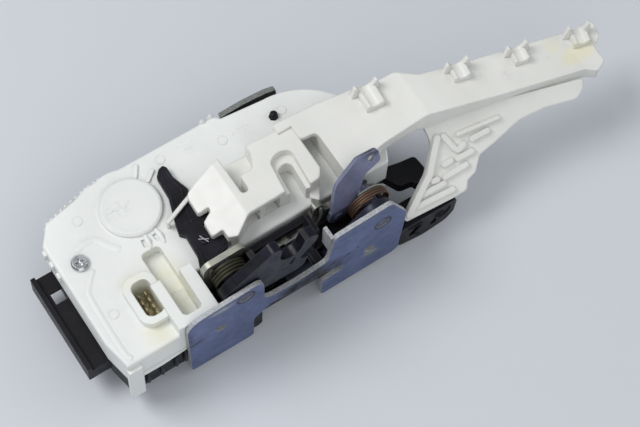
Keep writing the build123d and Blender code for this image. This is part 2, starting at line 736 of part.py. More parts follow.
with BuildPart() as inside_lever_pin:
    with BuildSketch(Plane.XY.offset(CEILING)):
        with Locations(LEVER_PIVOT):
            Circle(1.5)
    extrude(amount=LEVER_Z + LEVER_T + 0.1 - CEILING)
    with BuildSketch(Plane.XY.offset(LEVER_Z + LEVER_T + 0.1)):
        with Locations(LEVER_PIVOT):
            Circle(2.1)
    extrude(amount=0.9)
    chamfer(inside_lever_pin.faces().sort_by(Axis.Z)[-1].edges(), 0.4)
save(inside_lever_pin.part, "inside_lever_pin")

# Release lever: bent steel plate whose rivet sits on the back plate
RELEASE_PIN = (27.5, 9.5)
RELEASE_Y = 12.7
RELEASE_T = 1.8
BEND_Z = 14.0
BEND_ANGLE = 62.0
RISE = Plane(
    origin=(0, RELEASE_Y, BEND_Z),
    x_dir=(1, 0, 0),
    z_dir=(0, -sin(radians(BEND_ANGLE)), cos(radians(BEND_ANGLE))),
)
with BuildPart() as release_lever:
    with BuildSketch(facing(RELEASE_Y)):
        with BuildLine():
            FilletPolyline(
                (24, BEND_Z),
                (22.6, 8),
                (27, 3.8),
                (31.5, 6),
                (35, BEND_Z),
                radius=[0, 4, 4, 4, 0],
                close=True,
            )
        make_face()
        with Locations(RELEASE_PIN):
            Circle(2 + RUNNING_GAP, mode=Mode.SUBTRACT)
    extrude(amount=-RELEASE_T)
    with BuildSketch(RISE):
        with BuildLine():
            FilletPolyline(
                (24, 0),
                (35, 0),
                (43, 10),
                (51, 12.5),
                (51, 18.5),
                (41, 19),
                (29, 12),
                radius=[0, 0, 4, 2, 2, 2.5, 8],
                close=True,
            )
        make_face()
        with Locations((47, 15.5)):
            Circle(1.6, mode=Mode.SUBTRACT)
    extrude(amount=-RELEASE_T)
save(release_lever.part, "release_lever")

with BuildPart() as release_pin:
    with BuildSketch(facing(RELEASE_Y - 0.1)):
        with Locations(RELEASE_PIN):
            Circle(2)
    extrude(amount=-(BACK_PLATE_Y - RELEASE_Y + 0.1))
    with BuildSketch(facing(RELEASE_Y + RELEASE_T + 0.2)):
        with Locations(RELEASE_PIN):
            Circle(3)
            Circle(2, mode=Mode.SUBTRACT)
    extrude(amount=-(BACK_PLATE_Y - RELEASE_Y - RELEASE_T - 0.2))
    with BuildSketch(facing(RELEASE_Y - 0.1)):
        with Locations(RELEASE_PIN):
            Circle(2.6)
    extrude(amount=0.9)
    chamfer(release_pin.faces().sort_by(Axis.Y)[0].edges(), 0.4)
save(release_pin.part, "release_pin")

# Outside release lever on the rear wall
with BuildPart() as outside_lever:
    with BuildSketch(facing(OUTER_LEVER_Y)):
        link(OUTER_LEVER_PIN, 6, (37.5, -9.5), 4.2)
        with Locations(OUTER_LEVER_PIN):
            Circle(2 + RUNNING_GAP, mode=Mode.SUBTRACT)
    extrude(amount=-OUTER_LEVER_T)
save(outside_lever.part, "outside_lever")

with BuildPart() as outside_lever_pin:
    with BuildSketch(facing(OUTER_LEVER_Y - 6.3)):
        with Locations(OUTER_LEVER_PIN):
            Circle(2)
    extrude(amount=-(OUTER_LEVER_T + 6.5))
    with BuildSketch(facing(OUTER_LEVER_Y + OUTER_LEVER_T + 0.2)):
        with Locations(OUTER_LEVER_PIN):
            Circle(3.6)
    extrude(amount=-1)
    chamfer(outside_lever_pin.faces().sort_by(Axis.Y)[-1].edges(), 0.4)
save(outside_lever_pin.part, "outside_lever_pin")

# Side bracket: black channel on the housing's left side
BRACKET_X = (-88.0, HOUSE_LEFT + BASE_INSET)
BRACKET_Y = (16.0, 62.0)
BRACKET_Z = -12.0
BRACKET_T = 2.0
with BuildPart() as side_bracket:
    with BuildSketch(Plane.XY.offset(BRACKET_Z)):
        with Locations((sum(BRACKET_X) / 2, sum(BRACKET_Y) / 2)):
            Rectangle(BRACKET_X[1] - BRACKET_X[0], BRACKET_Y[1] - BRACKET_Y[0])
        with Locations((-81.3, 51)):
            Rectangle(5.4, 5.6, mode=Mode.SUBTRACT)
    extrude(amount=-BRACKET_T)
    with BuildSketch(Plane.XY.offset(BRACKET_Z + 3)):
        with Locations((BRACKET_X[0] + BRACKET_T / 2, sum(BRACKET_Y) / 2)):
            Rectangle(BRACKET_T, BRACKET_Y[1] - BRACKET_Y[0])
    extrude(amount=-11)
    with BuildSketch(Plane.XY.offset(BRACKET_Z)):
        with Locations((sum(BRACKET_X) / 2, BRACKET_Y[0] + BRACKET_T / 2)):
            Rectangle(BRACKET_X[1] - BRACKET_X[0], BRACKET_T)
        with Locations((sum(BRACKET_X) / 2, BRACKET_Y[1] - BRACKET_T / 2)):
            Rectangle(BRACKET_X[1] - BRACKET_X[0], BRACKET_T)
    extrude(amount=-8)
save(side_bracket.part, "side_bracket")

# Cable block: moulding on the cover with slots for the cable ends, lobes over the inside lever's
# prongs and a strap across the lever
SLOT_FLOOR = 12.0
LEDGE_Z = 18.5
POCKET_Z = (COVER_TOP + PART_GAP, 19.0)
HOOD_Z = LEVER_Z + LEVER_T + 0.7
STRAP_T = 1.4
STRAP_W = 1.6
STRAP_ENDS = ((-32.6, 44.4), (-19.5, 49.6))
with BuildPart() as block:
    with BuildSketch(Plane.XY.offset(COVER_TOP)):
        with BuildLine():
            FilletPolyline(
                (-3.7, 55.1),
                (-16.5, 51.4),
                (-21, 49.5),
                (-21.3, 40.1),
                (-16.4, 40.1),
                (-16.9, 38),
                (-21.3, 35.8),
                (-21.7, 28.9),
                (-16.9, 28.8),
                (-16.8, 24.6),
                (-13.4, 22.8),
                (-5.3, 27.9),
                (11.4, 28.3),
                (22.1, 25.8),
                (27, 26.2),
                (29.7, 29.7),
                (29.9, 52.5),
                radius=[3, 8, 2.5, 1, 0.6, 0.6, 1, 1, 0.8, 0.8, 1, 5, 3, 1.5, 2, 1.5, 0],
                close=True,
            )
        make_face()
    extrude(amount=BLOCK_TOP - COVER_TOP)
    fillet(block.faces().sort_by(Axis.Z)[-1].edges(), 0.7)
    # upper face falls away towards the inside lever
    with BuildSketch(Plane.XZ):
        Polygon(
            (-23, BLOCK_TOP - 5.2),
            (-6, BLOCK_TOP),
            (-6, BLOCK_TOP + 3),
            (-23, BLOCK_TOP + 3),
            align=None,
        )
    extrude(amount=-80, mode=Mode.SUBTRACT)
    # low tip in front of the third finger
    with BuildSketch(Plane.XY.offset(COVER_TOP)):
        Polygon((22.7, 28.8), (21.4, 23.4), (23.7, 20.8), (27.5, 26.5), align=None)
    extrude(amount=4)
    # room for the inside lever through its travel, under the lobes
    with BuildSketch(Plane.XY.offset(COVER_TOP)):
        with BuildSketch(mode=Mode.PRIVATE) as lever_sweep:
            add(lever_plan.sketch)
            add(lever_plan.sketch.rotate(Axis((*LEVER_PIVOT, 0), (0, 0, 1)), INSIDE_SWEEP))
            offset(amount=LEVER_ROOM, kind=Kind.INTERSECTION)
        add(lever_sweep.sketch)
    extrude(amount=HOOD_Z - COVER_TOP, mode=Mode.SUBTRACT)
    # strap across the lever, with its foot on the cover
    with BuildSketch(Plane.XY.offset(COVER_TOP)):
        with Locations(STRAP_ENDS[0]):
            Circle(STRAP_W / 2)
    extrude(amount=HOOD_Z + STRAP_T - COVER_TOP)
    with BuildSketch(Plane.XY.offset(HOOD_Z)):
        link(STRAP_ENDS[0], STRAP_W / 2, STRAP_ENDS[1], STRAP_W / 2)
    extrude(amount=STRAP_T)
    # first slot, open to the rear where it widens
    with BuildSketch(Plane.XY.offset(SLOT_FLOOR)):
        with BuildLine():
            FilletPolyline(
                (-3, 57),
                (-3, 36.4),
                (0.4, 36.4),
                (0.6, 43.6),
                (6.8, 44.1),
                (9.4, 49.9),
                (9.6, 57),
                radius=[0, 1.5, 1.5, 0.6, 2, 4, 0],
                close=True,
            )
        make_face()
    extrude(amount=BLOCK_TOP - SLOT_FLOOR, mode=Mode.SUBTRACT)
    # second slot, a stepped arch open to the front
    with BuildSketch(Plane.XY.offset(LEDGE_Z)):
        with BuildLine():
            FilletPolyline(
                (11, 20),
                (13.8, 42.5),
                (19, 45),
                (23.9, 42.5),
                (22, 20),
                radius=[0, 3, 6, 3, 0],
                close=True,
            )
        make_face()
    extrude(amount=BLOCK_TOP - LEDGE_Z, mode=Mode.SUBTRACT)
    with BuildSketch(Plane.XY.offset(COVER_TOP)):
        with BuildLine():
            FilletPolyline(
                (13.4, 20),
                (15.2, 39.5),
                (21.9, 41),
                (20.2, 20),
                radius=[0, 3, 3, 0],
                close=True,
            )
        make_face()
    extrude(amount=BLOCK_TOP - COVER_TOP, mode=Mode.SUBTRACT)
    # pair of pockets under the front edge
    with BuildSketch(Plane.XY.offset(POCKET_Z[0])):
        with Locations((-3.5, 28), (6, 28)):
            Rectangle(7, 8)
    extrude(amount=POCKET_Z[1] - POCKET_Z[0], mode=Mode.SUBTRACT)

# Guide arm: folded slab with a skirt along its near edge, walls at its root and four clips
ARM_SIDE = ((20, 23), (80, 23), (112, 17), (152, 12), (172, 12))
SKIRT_T = 2.0
# each clip: place, lean, distance between its fins, their height and the saddle's length
CLIPS = (
    ((63.7, 49.8), -5, 10, 7.5, 10.5),
    ((103.1, 40.3), -10, 9.2, 7.5, 7.5),
    ((130.4, 35.1), -9, 8.6, 7.5, 7.5),
    ((158.6, 29.6), -14, 9.2, 9, 7.5),
)


def arm_height(x):
    """Height of the arm's upper face at a place along it."""
    for (x0, z0), (x1, z1) in zip(ARM_SIDE, ARM_SIDE[1:]):
        if x0 <= x <= x1:
            return z0 + (z1 - z0) * (x - x0) / (x1 - x0)


with BuildPart() as arm_slab:
    with BuildSketch(Plane.XY):
        with BuildLine():
            FilletPolyline(
                (23.2, 55.6),
                (23.2, 51),
                (29.4, 51),
                (29.4, 44),
                (36.6, 43.5),
                (36.6, 23),
                (38.2, 21),
                (42.5, 22.2),
                (56.9, 24.8),
                (78.2, 25.9),
                (107.3, 20.7),
                (151.8, 12.6),
                (155.6, 9.3),
                (161.3, 11.9),
                (161.4, 19.8),
                (166.5, 22.4),
                (168.4, 30.4),
                (153.7, 32.1),
                (115.3, 39),
                (87, 43.9),
                (78.2, 49.8),
                (72, 49.8),
                (58.7, 52.2),
                (43.1, 54.4),
                radius=[1, 0, 0, 2, 2.5, 1, 1, 3, 6, 10, 20, 3, 2, 2, 2, 2, 2, 8, 20, 3, 3, 4, 6, 6],
                close=True,
            )
        make_face()
    extrude(amount=ARM_TOP + 5)
    with BuildSketch(Plane.XZ):
        Polygon(*ARM_SIDE, *((x, z - ARM_T) for x, z in reversed(ARM_SIDE)), align=None)
    extrude(amount=-80, mode=Mode.INTERSECT)

with BuildPart() as arm_skirt:
    with BuildSketch(Plane.XY):
        with BuildLine():
            near = FilletPolyline(
                (38.2, 21),
                (42.5, 22.2),
                (56.9, 24.8),
                (78.2, 25.9),
                (107.3, 20.7),
                (151.8, 12.6),
                (155.6, 9.3),
                radius=[3, 6, 10, 20, 3],
            )
            far = FilletPolyline(
                (37.6, 21 + SKIRT_T),
                (42, 22.2 + SKIRT_T),
                (56.7, 24.8 + SKIRT_T),
                (78.2, 25.9 + SKIRT_T),
                (107.6, 20.7 + SKIRT_T),
                (152.8, 12.6 + SKIRT_T),
                (156.6, 9.5 + SKIRT_T),
                radius=[3, 6, 10, 20, 3],
            )
            Line(near @ 0, far @ 0)
            Line(near @ 1, far @ 1)
        make_face()
    extrude(amount=ARM_TOP + 5)
    with BuildSketch(Plane.XZ):
        with BuildLine():
            FilletPolyline(
                (30, 22),
                (80, 22),
                (112, 16),
                (152, 11),
                (172, 11),
                (157, 7),
                (152, 5.5),
                (112, 8.5),
                (88, 10),
                (79, 10.5),
                (74, 15.5),
                (60, 17),
                (50, 13.5),
                (43, 10),
                (30, 10),
                radius=[0, 0, 0, 0, 0, 2, 6, 20, 6, 2, 4, 12, 6, 4, 0],
                close=True,
            )
        make_face()
    extrude(amount=-80, mode=Mode.INTERSECT)

# Brace: slanted web with a lattice of ribs, from the arm down to the latch body's wing
BRACE = Plane(origin=(82, 27, 13), x_dir=(0.967, -0.249, -0.055), z_dir=(-0.119, -0.634, 0.764))
BRACE_T = 2.0
RIB_H = 1.6
RIB_R = 1.5
LUMPS = (
    ((4.4, -7.5), (8.2, -13.8)),
    ((16.4, -11.7), (23.5, -10)),
    ((9.5, -14.8), (12.4, -13)),
    ((8.8, -18.3), (15.4, -16.8)),
    ((2.6, -19.4), (5.6, -18.4)),
    ((2, -24.7), (12, -21.8)),
    ((-3.3, -25), (-1.5, -24.8)),
    ((-8.2, -29.4), (0.9, -27.2)),
    ((-12, -34), (4.4, -30.6)),
)
with BuildPart() as brace:
    with BuildSketch(BRACE):
        with BuildLine():
            FilletPolyline(
                (-3.5, -1),
                (-1, -9.5),
                (-6.3, -21.7),
                (-13.5, -30.5),
                (-20.6, -39.9),
                (4.9, -34.4),
                (10.6, -32.8),
                (11.8, -28.7),
                (15.7, -26.2),
                (18.7, -19.5),
                (26.5, -15.8),
                (38.4, -9.3),
                (50.3, -7),
                (65.4, -6.9),
                (68.7, -2.9),
                (69.4, 1.0),
                (30, 1.2),
                radius=[2, 8, 12, 8, 1.5, 1, 2, 1.5, 2, 3, 6, 8, 12, 3, 1.5, 0.5, 0],
                close=True,
            )
        make_face()
    extrude(amount=-BRACE_T)
    # broad rail along the left edge, and a ridge towards the arm's tip
    with BuildSketch(BRACE):
        link((1.4, -7.5), RIB_R, (-4.4, -21.8), RIB_R)
        link((-4.4, -21.8), RIB_R, (-16.2, -36.4), RIB_R)
        link((10.2, -8.2), 0.6 * RIB_R, (29, -5.6), 0.6 * RIB_R)
    extrude(amount=RIB_H)
    # low lumps that run with the arm
    with BuildSketch(BRACE):
        for lump in LUMPS:
            link(lump[0], 0.9 * RIB_R, lump[1], 0.9 * RIB_R)
    extrude(amount=0.75 * RIB_H)

with BuildPart() as arm_carrier:
    add(block.part)
    add(arm_slab.part)
    add(arm_skirt.part)
    add(brace.part)
    # walls under the arm's root, standing on the cover
    with BuildSketch(Plane.XY.offset(COVER_TOP)):
        with Locations((37.9, 37)):
            Rectangle(2.6, 28)
        with Locations((33, 52)):
            Rectangle(20, 3)
    extrude(amount=ARM_TOP - ARM_T / 2 - COVER_TOP)
    # clips along the far edge: a saddle between two pointed fins
    for place, lean, spacing, height, saddle in CLIPS:
        foot = Plane(origin=(*place, arm_height(place[0])), z_dir=(0, 0, 1)).rotated((0, 0, lean))
        across = Plane(origin=foot.origin, x_dir=foot.x_dir, z_dir=-foot.y_dir)
        half = spacing / 2
        with BuildSketch(across):
            with BuildLine():
                FilletPolyline(
                    (-half - 1.8, -1.3),
                    (-half, height),
                    (2.2 - half, 3.2),
                    (0, 2.2),
                    (half - 2.2, 3.2),
                    (half, height),
                    (half + 1.8, -1.3),
                    radius=[0, 0.5, 1, 2, 1, 0.5, 0],
                    close=True,
                )
            make_face()
        extrude(amount=2.2)
        with BuildSketch(across):
            Polygon((1 - half, -1.3), (1 - half, 3.6), (half - 1, 3.6), (half - 1, -1.3), align=None)
            with Locations((0, 5.2)):
                Circle(2.8, mode=Mode.SUBTRACT)
        extrude(amount=saddle)
save(arm_carrier.part, "arm_carrier")

# Motor: steel can with a plastic end cap
SHAFT_END = BEARING_POSTS[0] - 0.5
CAN_WALL = 1.0
CAP_T = 2.5
with BuildPart() as motor_can:
    with BuildSketch(Plane.YZ.offset(MOTOR_X[0])):
        with Locations((WORM_Y, WORM_Z)):
            Circle(MOTOR_R)
    extrude(amount=MOTOR_LENGTH)
    with BuildSketch(Plane.YZ.offset(MOTOR_X[0] + CAN_WALL)):
        with Locations((WORM_Y, WORM_Z)):
            Circle(MOTOR_R - CAN_WALL)
    extrude(amount=MOTOR_LENGTH - CAN_WALL, mode=Mode.SUBTRACT)
    with BuildSketch(Plane.YZ.offset(MOTOR_X[0])):
        with Locations((WORM_Y, WORM_Z)):
            Circle(3)
    extrude(amount=-1.2)
    with BuildSketch(Plane.YZ.offset(MOTOR_X[0] - 1.2)):
        with Locations((WORM_Y, WORM_Z)):
            Circle(SHAFT_R + RUNNING_GAP)
    extrude(amount=CAN_WALL + 1.2, mode=Mode.SUBTRACT)
save(motor_can.part, "motor_can")

with BuildPart() as motor_end_cap:
    with BuildSketch(Plane.YZ.offset(MOTOR_X[1])):
        with Locations((WORM_Y, WORM_Z)):
            Circle(MOTOR_R - CAN_WALL)
            Circle(SHAFT_R + RUNNING_GAP, mode=Mode.SUBTRACT)
    extrude(amount=-CAP_T)
save(motor_end_cap.part, "motor_end_cap")

with BuildPart() as armature:
    with BuildSketch(Plane.YZ.offset(MOTOR_X[0] + 5)):
        with Locations((WORM_Y, WORM_Z)):
            Circle(6.6)
            with PolarLocations(6.6, 5):
                Rectangle(3, 1.4, mode=Mode.SUBTRACT)
            Circle(SHAFT_R, mode=Mode.SUBTRACT)
    extrude(amount=MOTOR_LENGTH - CAP_T - 8)
save(armature.part, "armature")

# Worm shaft: motor shaft with the helical worm thread, meshing with the wheel
PITCH = pi * GEAR_MODULE
MESH_T = 0.95
ADDENDUM = GEAR_MODULE
DEDENDUM = 1.25 * GEAR_MODULE
WORM_TURNS = 3
# the helix starts above the worm's axis, a quarter turn before the mesh
WORM_START = WHEEL_CENTRE[0] - PITCH * (WORM_TURNS // 2 + 0.75)
with BuildPart() as worm_shaft:
    with BuildSketch(Plane.YZ.offset(SHAFT_END)):
        with Locations((WORM_Y, WORM_Z)):
            Circle(SHAFT_R)
    extrude(amount=MOTOR_X[1] - 0.5 - SHAFT_END)
    with BuildSketch(Plane.YZ.offset(BEARING_POSTS[0] + POST_T + 0.4)):
        with Locations((WORM_Y, WORM_Z)):
            Circle(WORM_PITCH_R - DEDENDUM)
    extrude(amount=BEARING_POSTS[1] - BEARING_POSTS[0] - POST_T - 0.8)
    with BuildLine() as worm_path:
        worm_centre = (WORM_START, WORM_Y, WORM_Z)
        Helix(PITCH, PITCH * WORM_TURNS, WORM_PITCH_R, center=worm_centre, direction=(1, 0, 0))
    start = worm_path.line @ 0
    outward = (start - Vector(start.X, WORM_Y, WORM_Z)).normalized()
    with BuildSketch(Plane(origin=start, x_dir=outward, z_dir=worm_path.line % 0)):
        Polygon(
            (-DEDENDUM - 0.1, -MESH_T / 2 - 0.35),
            (ADDENDUM, -MESH_T / 2 + 0.25),
            (ADDENDUM, MESH_T / 2 - 0.25),
            (-DEDENDUM - 0.1, MESH_T / 2 + 0.35),
            align=None,
        )
    sweep(path=worm_path.line, is_frenet=True)
save(worm_shaft.part, "worm_shaft")

# Worm wheel: straight teeth, turning on the gear pin
TOOTH_STEP = 360 / WHEEL_TEETH
PITCH_R = WHEEL_TEETH * GEAR_MODULE / 2
with BuildPart() as worm_wheel:
    with BuildSketch(Plane.XY.offset(WHEEL_Z)):
        with Locations(WHEEL_CENTRE):
            Circle(PITCH_R - DEDENDUM)
            with PolarLocations(PITCH_R, WHEEL_TEETH, start_angle=-90 + TOOTH_STEP / 2):
                Polygon(
                    (-DEDENDUM - 0.2, -MESH_T / 2 - 0.35),
                    (ADDENDUM, -MESH_T / 2 + 0.25),
                    (ADDENDUM, MESH_T / 2 - 0.25),
                    (-DEDENDUM - 0.2, MESH_T / 2 + 0.35),
                    align=None,
                )
            Circle(WHEEL_BORE_R, mode=Mode.SUBTRACT)
    extrude(amount=WHEEL_T)
    with BuildSketch(Plane.XY.offset(WHEEL_Z + WHEEL_T)):
        with Locations(WHEEL_CENTRE):
            Circle(9)
            Circle(4.6, mode=Mode.SUBTRACT)
    extrude(amount=-0.8, mode=Mode.SUBTRACT)
save(worm_wheel.part, "worm_wheel")

# Output lever: plate on the wheel with a drive peg
OUTPUT_REACH = 10.0
OUTPUT_END = (WHEEL_CENTRE[0] + OUTPUT_REACH, WHEEL_CENTRE[1])
with BuildPart() as output_lever:
    with BuildSketch(Plane.XY.offset(WHEEL_Z + WHEEL_T)):
        link(WHEEL_CENTRE, 5, OUTPUT_END, 3)
        with Locations(WHEEL_CENTRE):
            Circle(WHEEL_BORE_R, mode=Mode.SUBTRACT)
    extrude(amount=2.2)
    with BuildSketch(Plane.XY.offset(WHEEL_Z + WHEEL_T + 2.2)):
        with Locations(OUTPUT_END):
            Circle(1.5)
    extrude(amount=4)
save(output_lever.part, "output_lever")

with BuildPart() as gear_pin:
    with BuildSketch(Plane.XY.offset(FLOOR)):
        with Locations(WHEEL_CENTRE):
            Circle(WHEEL_BORE_R - RUNNING_GAP)
    extrude(amount=WHEEL_Z + WHEEL_T + 4 - FLOOR)
save(gear_pin.part, "gear_pin")

# Contact board with the connector's terminals and two microswitches
with BuildPart() as contact_board:
    with BuildSketch(Plane.XY.offset(BOARD_Z)):
        with Locations(BOARD):
            RectangleRounded(*BOARD_SIZE, 1.5)
        with Locations(SOCKET):
            with GridLocations(3, TERMINAL_PITCH, 2, TERMINALS):
                Rectangle(0.6, 1.5, mode=Mode.SUBTRACT)
    extrude(amount=BOARD_T)
save(contact_board.part, "contact_board")

with BuildPart() as connector_terminals:
    with BuildSketch(Plane.XY.offset(BOARD_Z)):
        with Locations(SOCKET):
            with GridLocations(3, TERMINAL_PITCH, 2, TERMINALS):
                Rectangle(0.6, 1.5)
    extrude(amount=SOCKET_FLOOR + 9 - BOARD_Z)
save(connector_terminals.part, "connector_terminals")


def microswitch(place, name):
    """Small switch case with its plunger, seated on the contact board."""
    with BuildPart() as switch:
        with BuildSketch(Plane.XY.offset(BOARD_Z + BOARD_T)):
            with Locations(place):
                Rectangle(5, 9)
        extrude(amount=4.5)
        with BuildSketch(Plane.XY.offset(BOARD_Z + BOARD_T + 4.5)):
            with Locations((place[0], place[1] + 2)):
                RectangleRounded(1.4, 2.4, 0.5)
        extrude(amount=1)
    save(switch.part, name)


microswitch((BOARD[0] - 6, BOARD[1] - 6), "microswitch_claw")
microswitch((BOARD[0] - 6, BOARD[1] + 6), "microswitch_lock")
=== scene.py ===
import json
import math
import random

import bpy
from mathutils import Matrix, Vector


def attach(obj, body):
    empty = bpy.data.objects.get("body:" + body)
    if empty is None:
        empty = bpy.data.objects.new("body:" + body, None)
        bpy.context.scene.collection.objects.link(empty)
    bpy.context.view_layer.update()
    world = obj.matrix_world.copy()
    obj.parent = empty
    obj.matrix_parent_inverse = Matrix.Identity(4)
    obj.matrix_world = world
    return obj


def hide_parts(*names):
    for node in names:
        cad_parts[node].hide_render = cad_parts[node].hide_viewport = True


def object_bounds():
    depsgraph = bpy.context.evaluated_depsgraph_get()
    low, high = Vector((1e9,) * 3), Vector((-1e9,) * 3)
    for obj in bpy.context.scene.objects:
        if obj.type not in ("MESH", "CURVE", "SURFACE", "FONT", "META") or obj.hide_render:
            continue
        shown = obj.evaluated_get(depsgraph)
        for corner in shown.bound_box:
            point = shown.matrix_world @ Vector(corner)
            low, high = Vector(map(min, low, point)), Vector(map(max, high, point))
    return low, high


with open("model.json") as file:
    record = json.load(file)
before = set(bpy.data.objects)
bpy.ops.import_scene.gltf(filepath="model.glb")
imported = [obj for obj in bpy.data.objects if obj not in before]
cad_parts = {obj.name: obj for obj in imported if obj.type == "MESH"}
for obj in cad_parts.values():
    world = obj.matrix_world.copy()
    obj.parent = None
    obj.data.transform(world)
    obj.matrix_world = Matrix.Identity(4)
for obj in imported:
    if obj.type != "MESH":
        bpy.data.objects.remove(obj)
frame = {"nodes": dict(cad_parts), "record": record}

CAD_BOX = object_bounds()
random.seed(7)
MM = 0.001
HOUSING = "latch_housing"

# Colours of the pieces, linear
WHITE = (0.80, 0.81, 0.785)
IVORY = (0.79, 0.785, 0.745)
BLACK = (0.006, 0.006, 0.0075)
NATURAL = (0.62, 0.60, 0.50)
# Zinc grey of the latch plate with a painted blue reflection of the surroundings
PLATE_ZINC_BLUE_REFLECTED = (0.13, 0.165, 0.31)
# Zinc grey of the release lever with a painted blue reflection of the surroundings
LEVER_ZINC_BLUE_REFLECTED = (0.29, 0.31, 0.46)
PIN_BLUE = (0.13, 0.14, 0.21)
CLAW_BLUE = (0.016, 0.018, 0.034)
DARK_STEEL = (0.02, 0.02, 0.024)
YELLOW_ZINC = (0.40, 0.40, 0.34)
BRIGHT_ZINC = (0.62, 0.63, 0.65)
STEEL = (0.40, 0.41, 0.44)
COPPER = (0.14, 0.085, 0.055)
DARK_WIRE = (0.050, 0.048, 0.030)
BRASS = (0.50, 0.40, 0.20)

# Colours of wear and dirt, and of painted shade, linear
CUT_EDGE = (0.50, 0.50, 0.48)
YELLOWED = (0.78, 0.74, 0.50)
SCUFF = (0.13, 0.13, 0.15)
DUST = (0.05, 0.05, 0.055)
# Painted shade over the back plate inside the bay
SHADED_BAY = (0.015, 0.015, 0.014)
EYE_GRIME = (0.05, 0.05, 0.07)
YELLOW_SCRAPE = (0.42, 0.43, 0.20)
PALE_SCRAPE = (0.55, 0.55, 0.50)
DARK_SCRATCH = (0.02, 0.02, 0.03)
DARK_RUB = (0.03, 0.03, 0.05)
# Painted shade: near-black on the plate's face under its top lip
LIP_PAINTED_SHADE = (0.006, 0.007, 0.008)

# Places that the looks share with the solids, in millimetres; the pins give X and Z
CLAW_PIN = (-24.3, 17.0)
PAWL_PIN = (40.6, 10.7)
COVER_TOP = 10.0
DOME = (-41.3, 59.5)
DOME_R = 13.0
DOME_TOP = 12.0
LEVER_TOP = 13.3

# Axes of a sheet, and the sockets of the Mix node that hold colours
AXIS_X, AXIS_Y, AXIS_Z = 0, 1, 2
MIX_FIRST, MIX_SECOND, MIX_RESULT = 6, 7, 2

# Samples of a bevel, and the squeeze that leaves a round spot round
BEVEL_SAMPLES = 4
EVEN = (1, 1, 1)


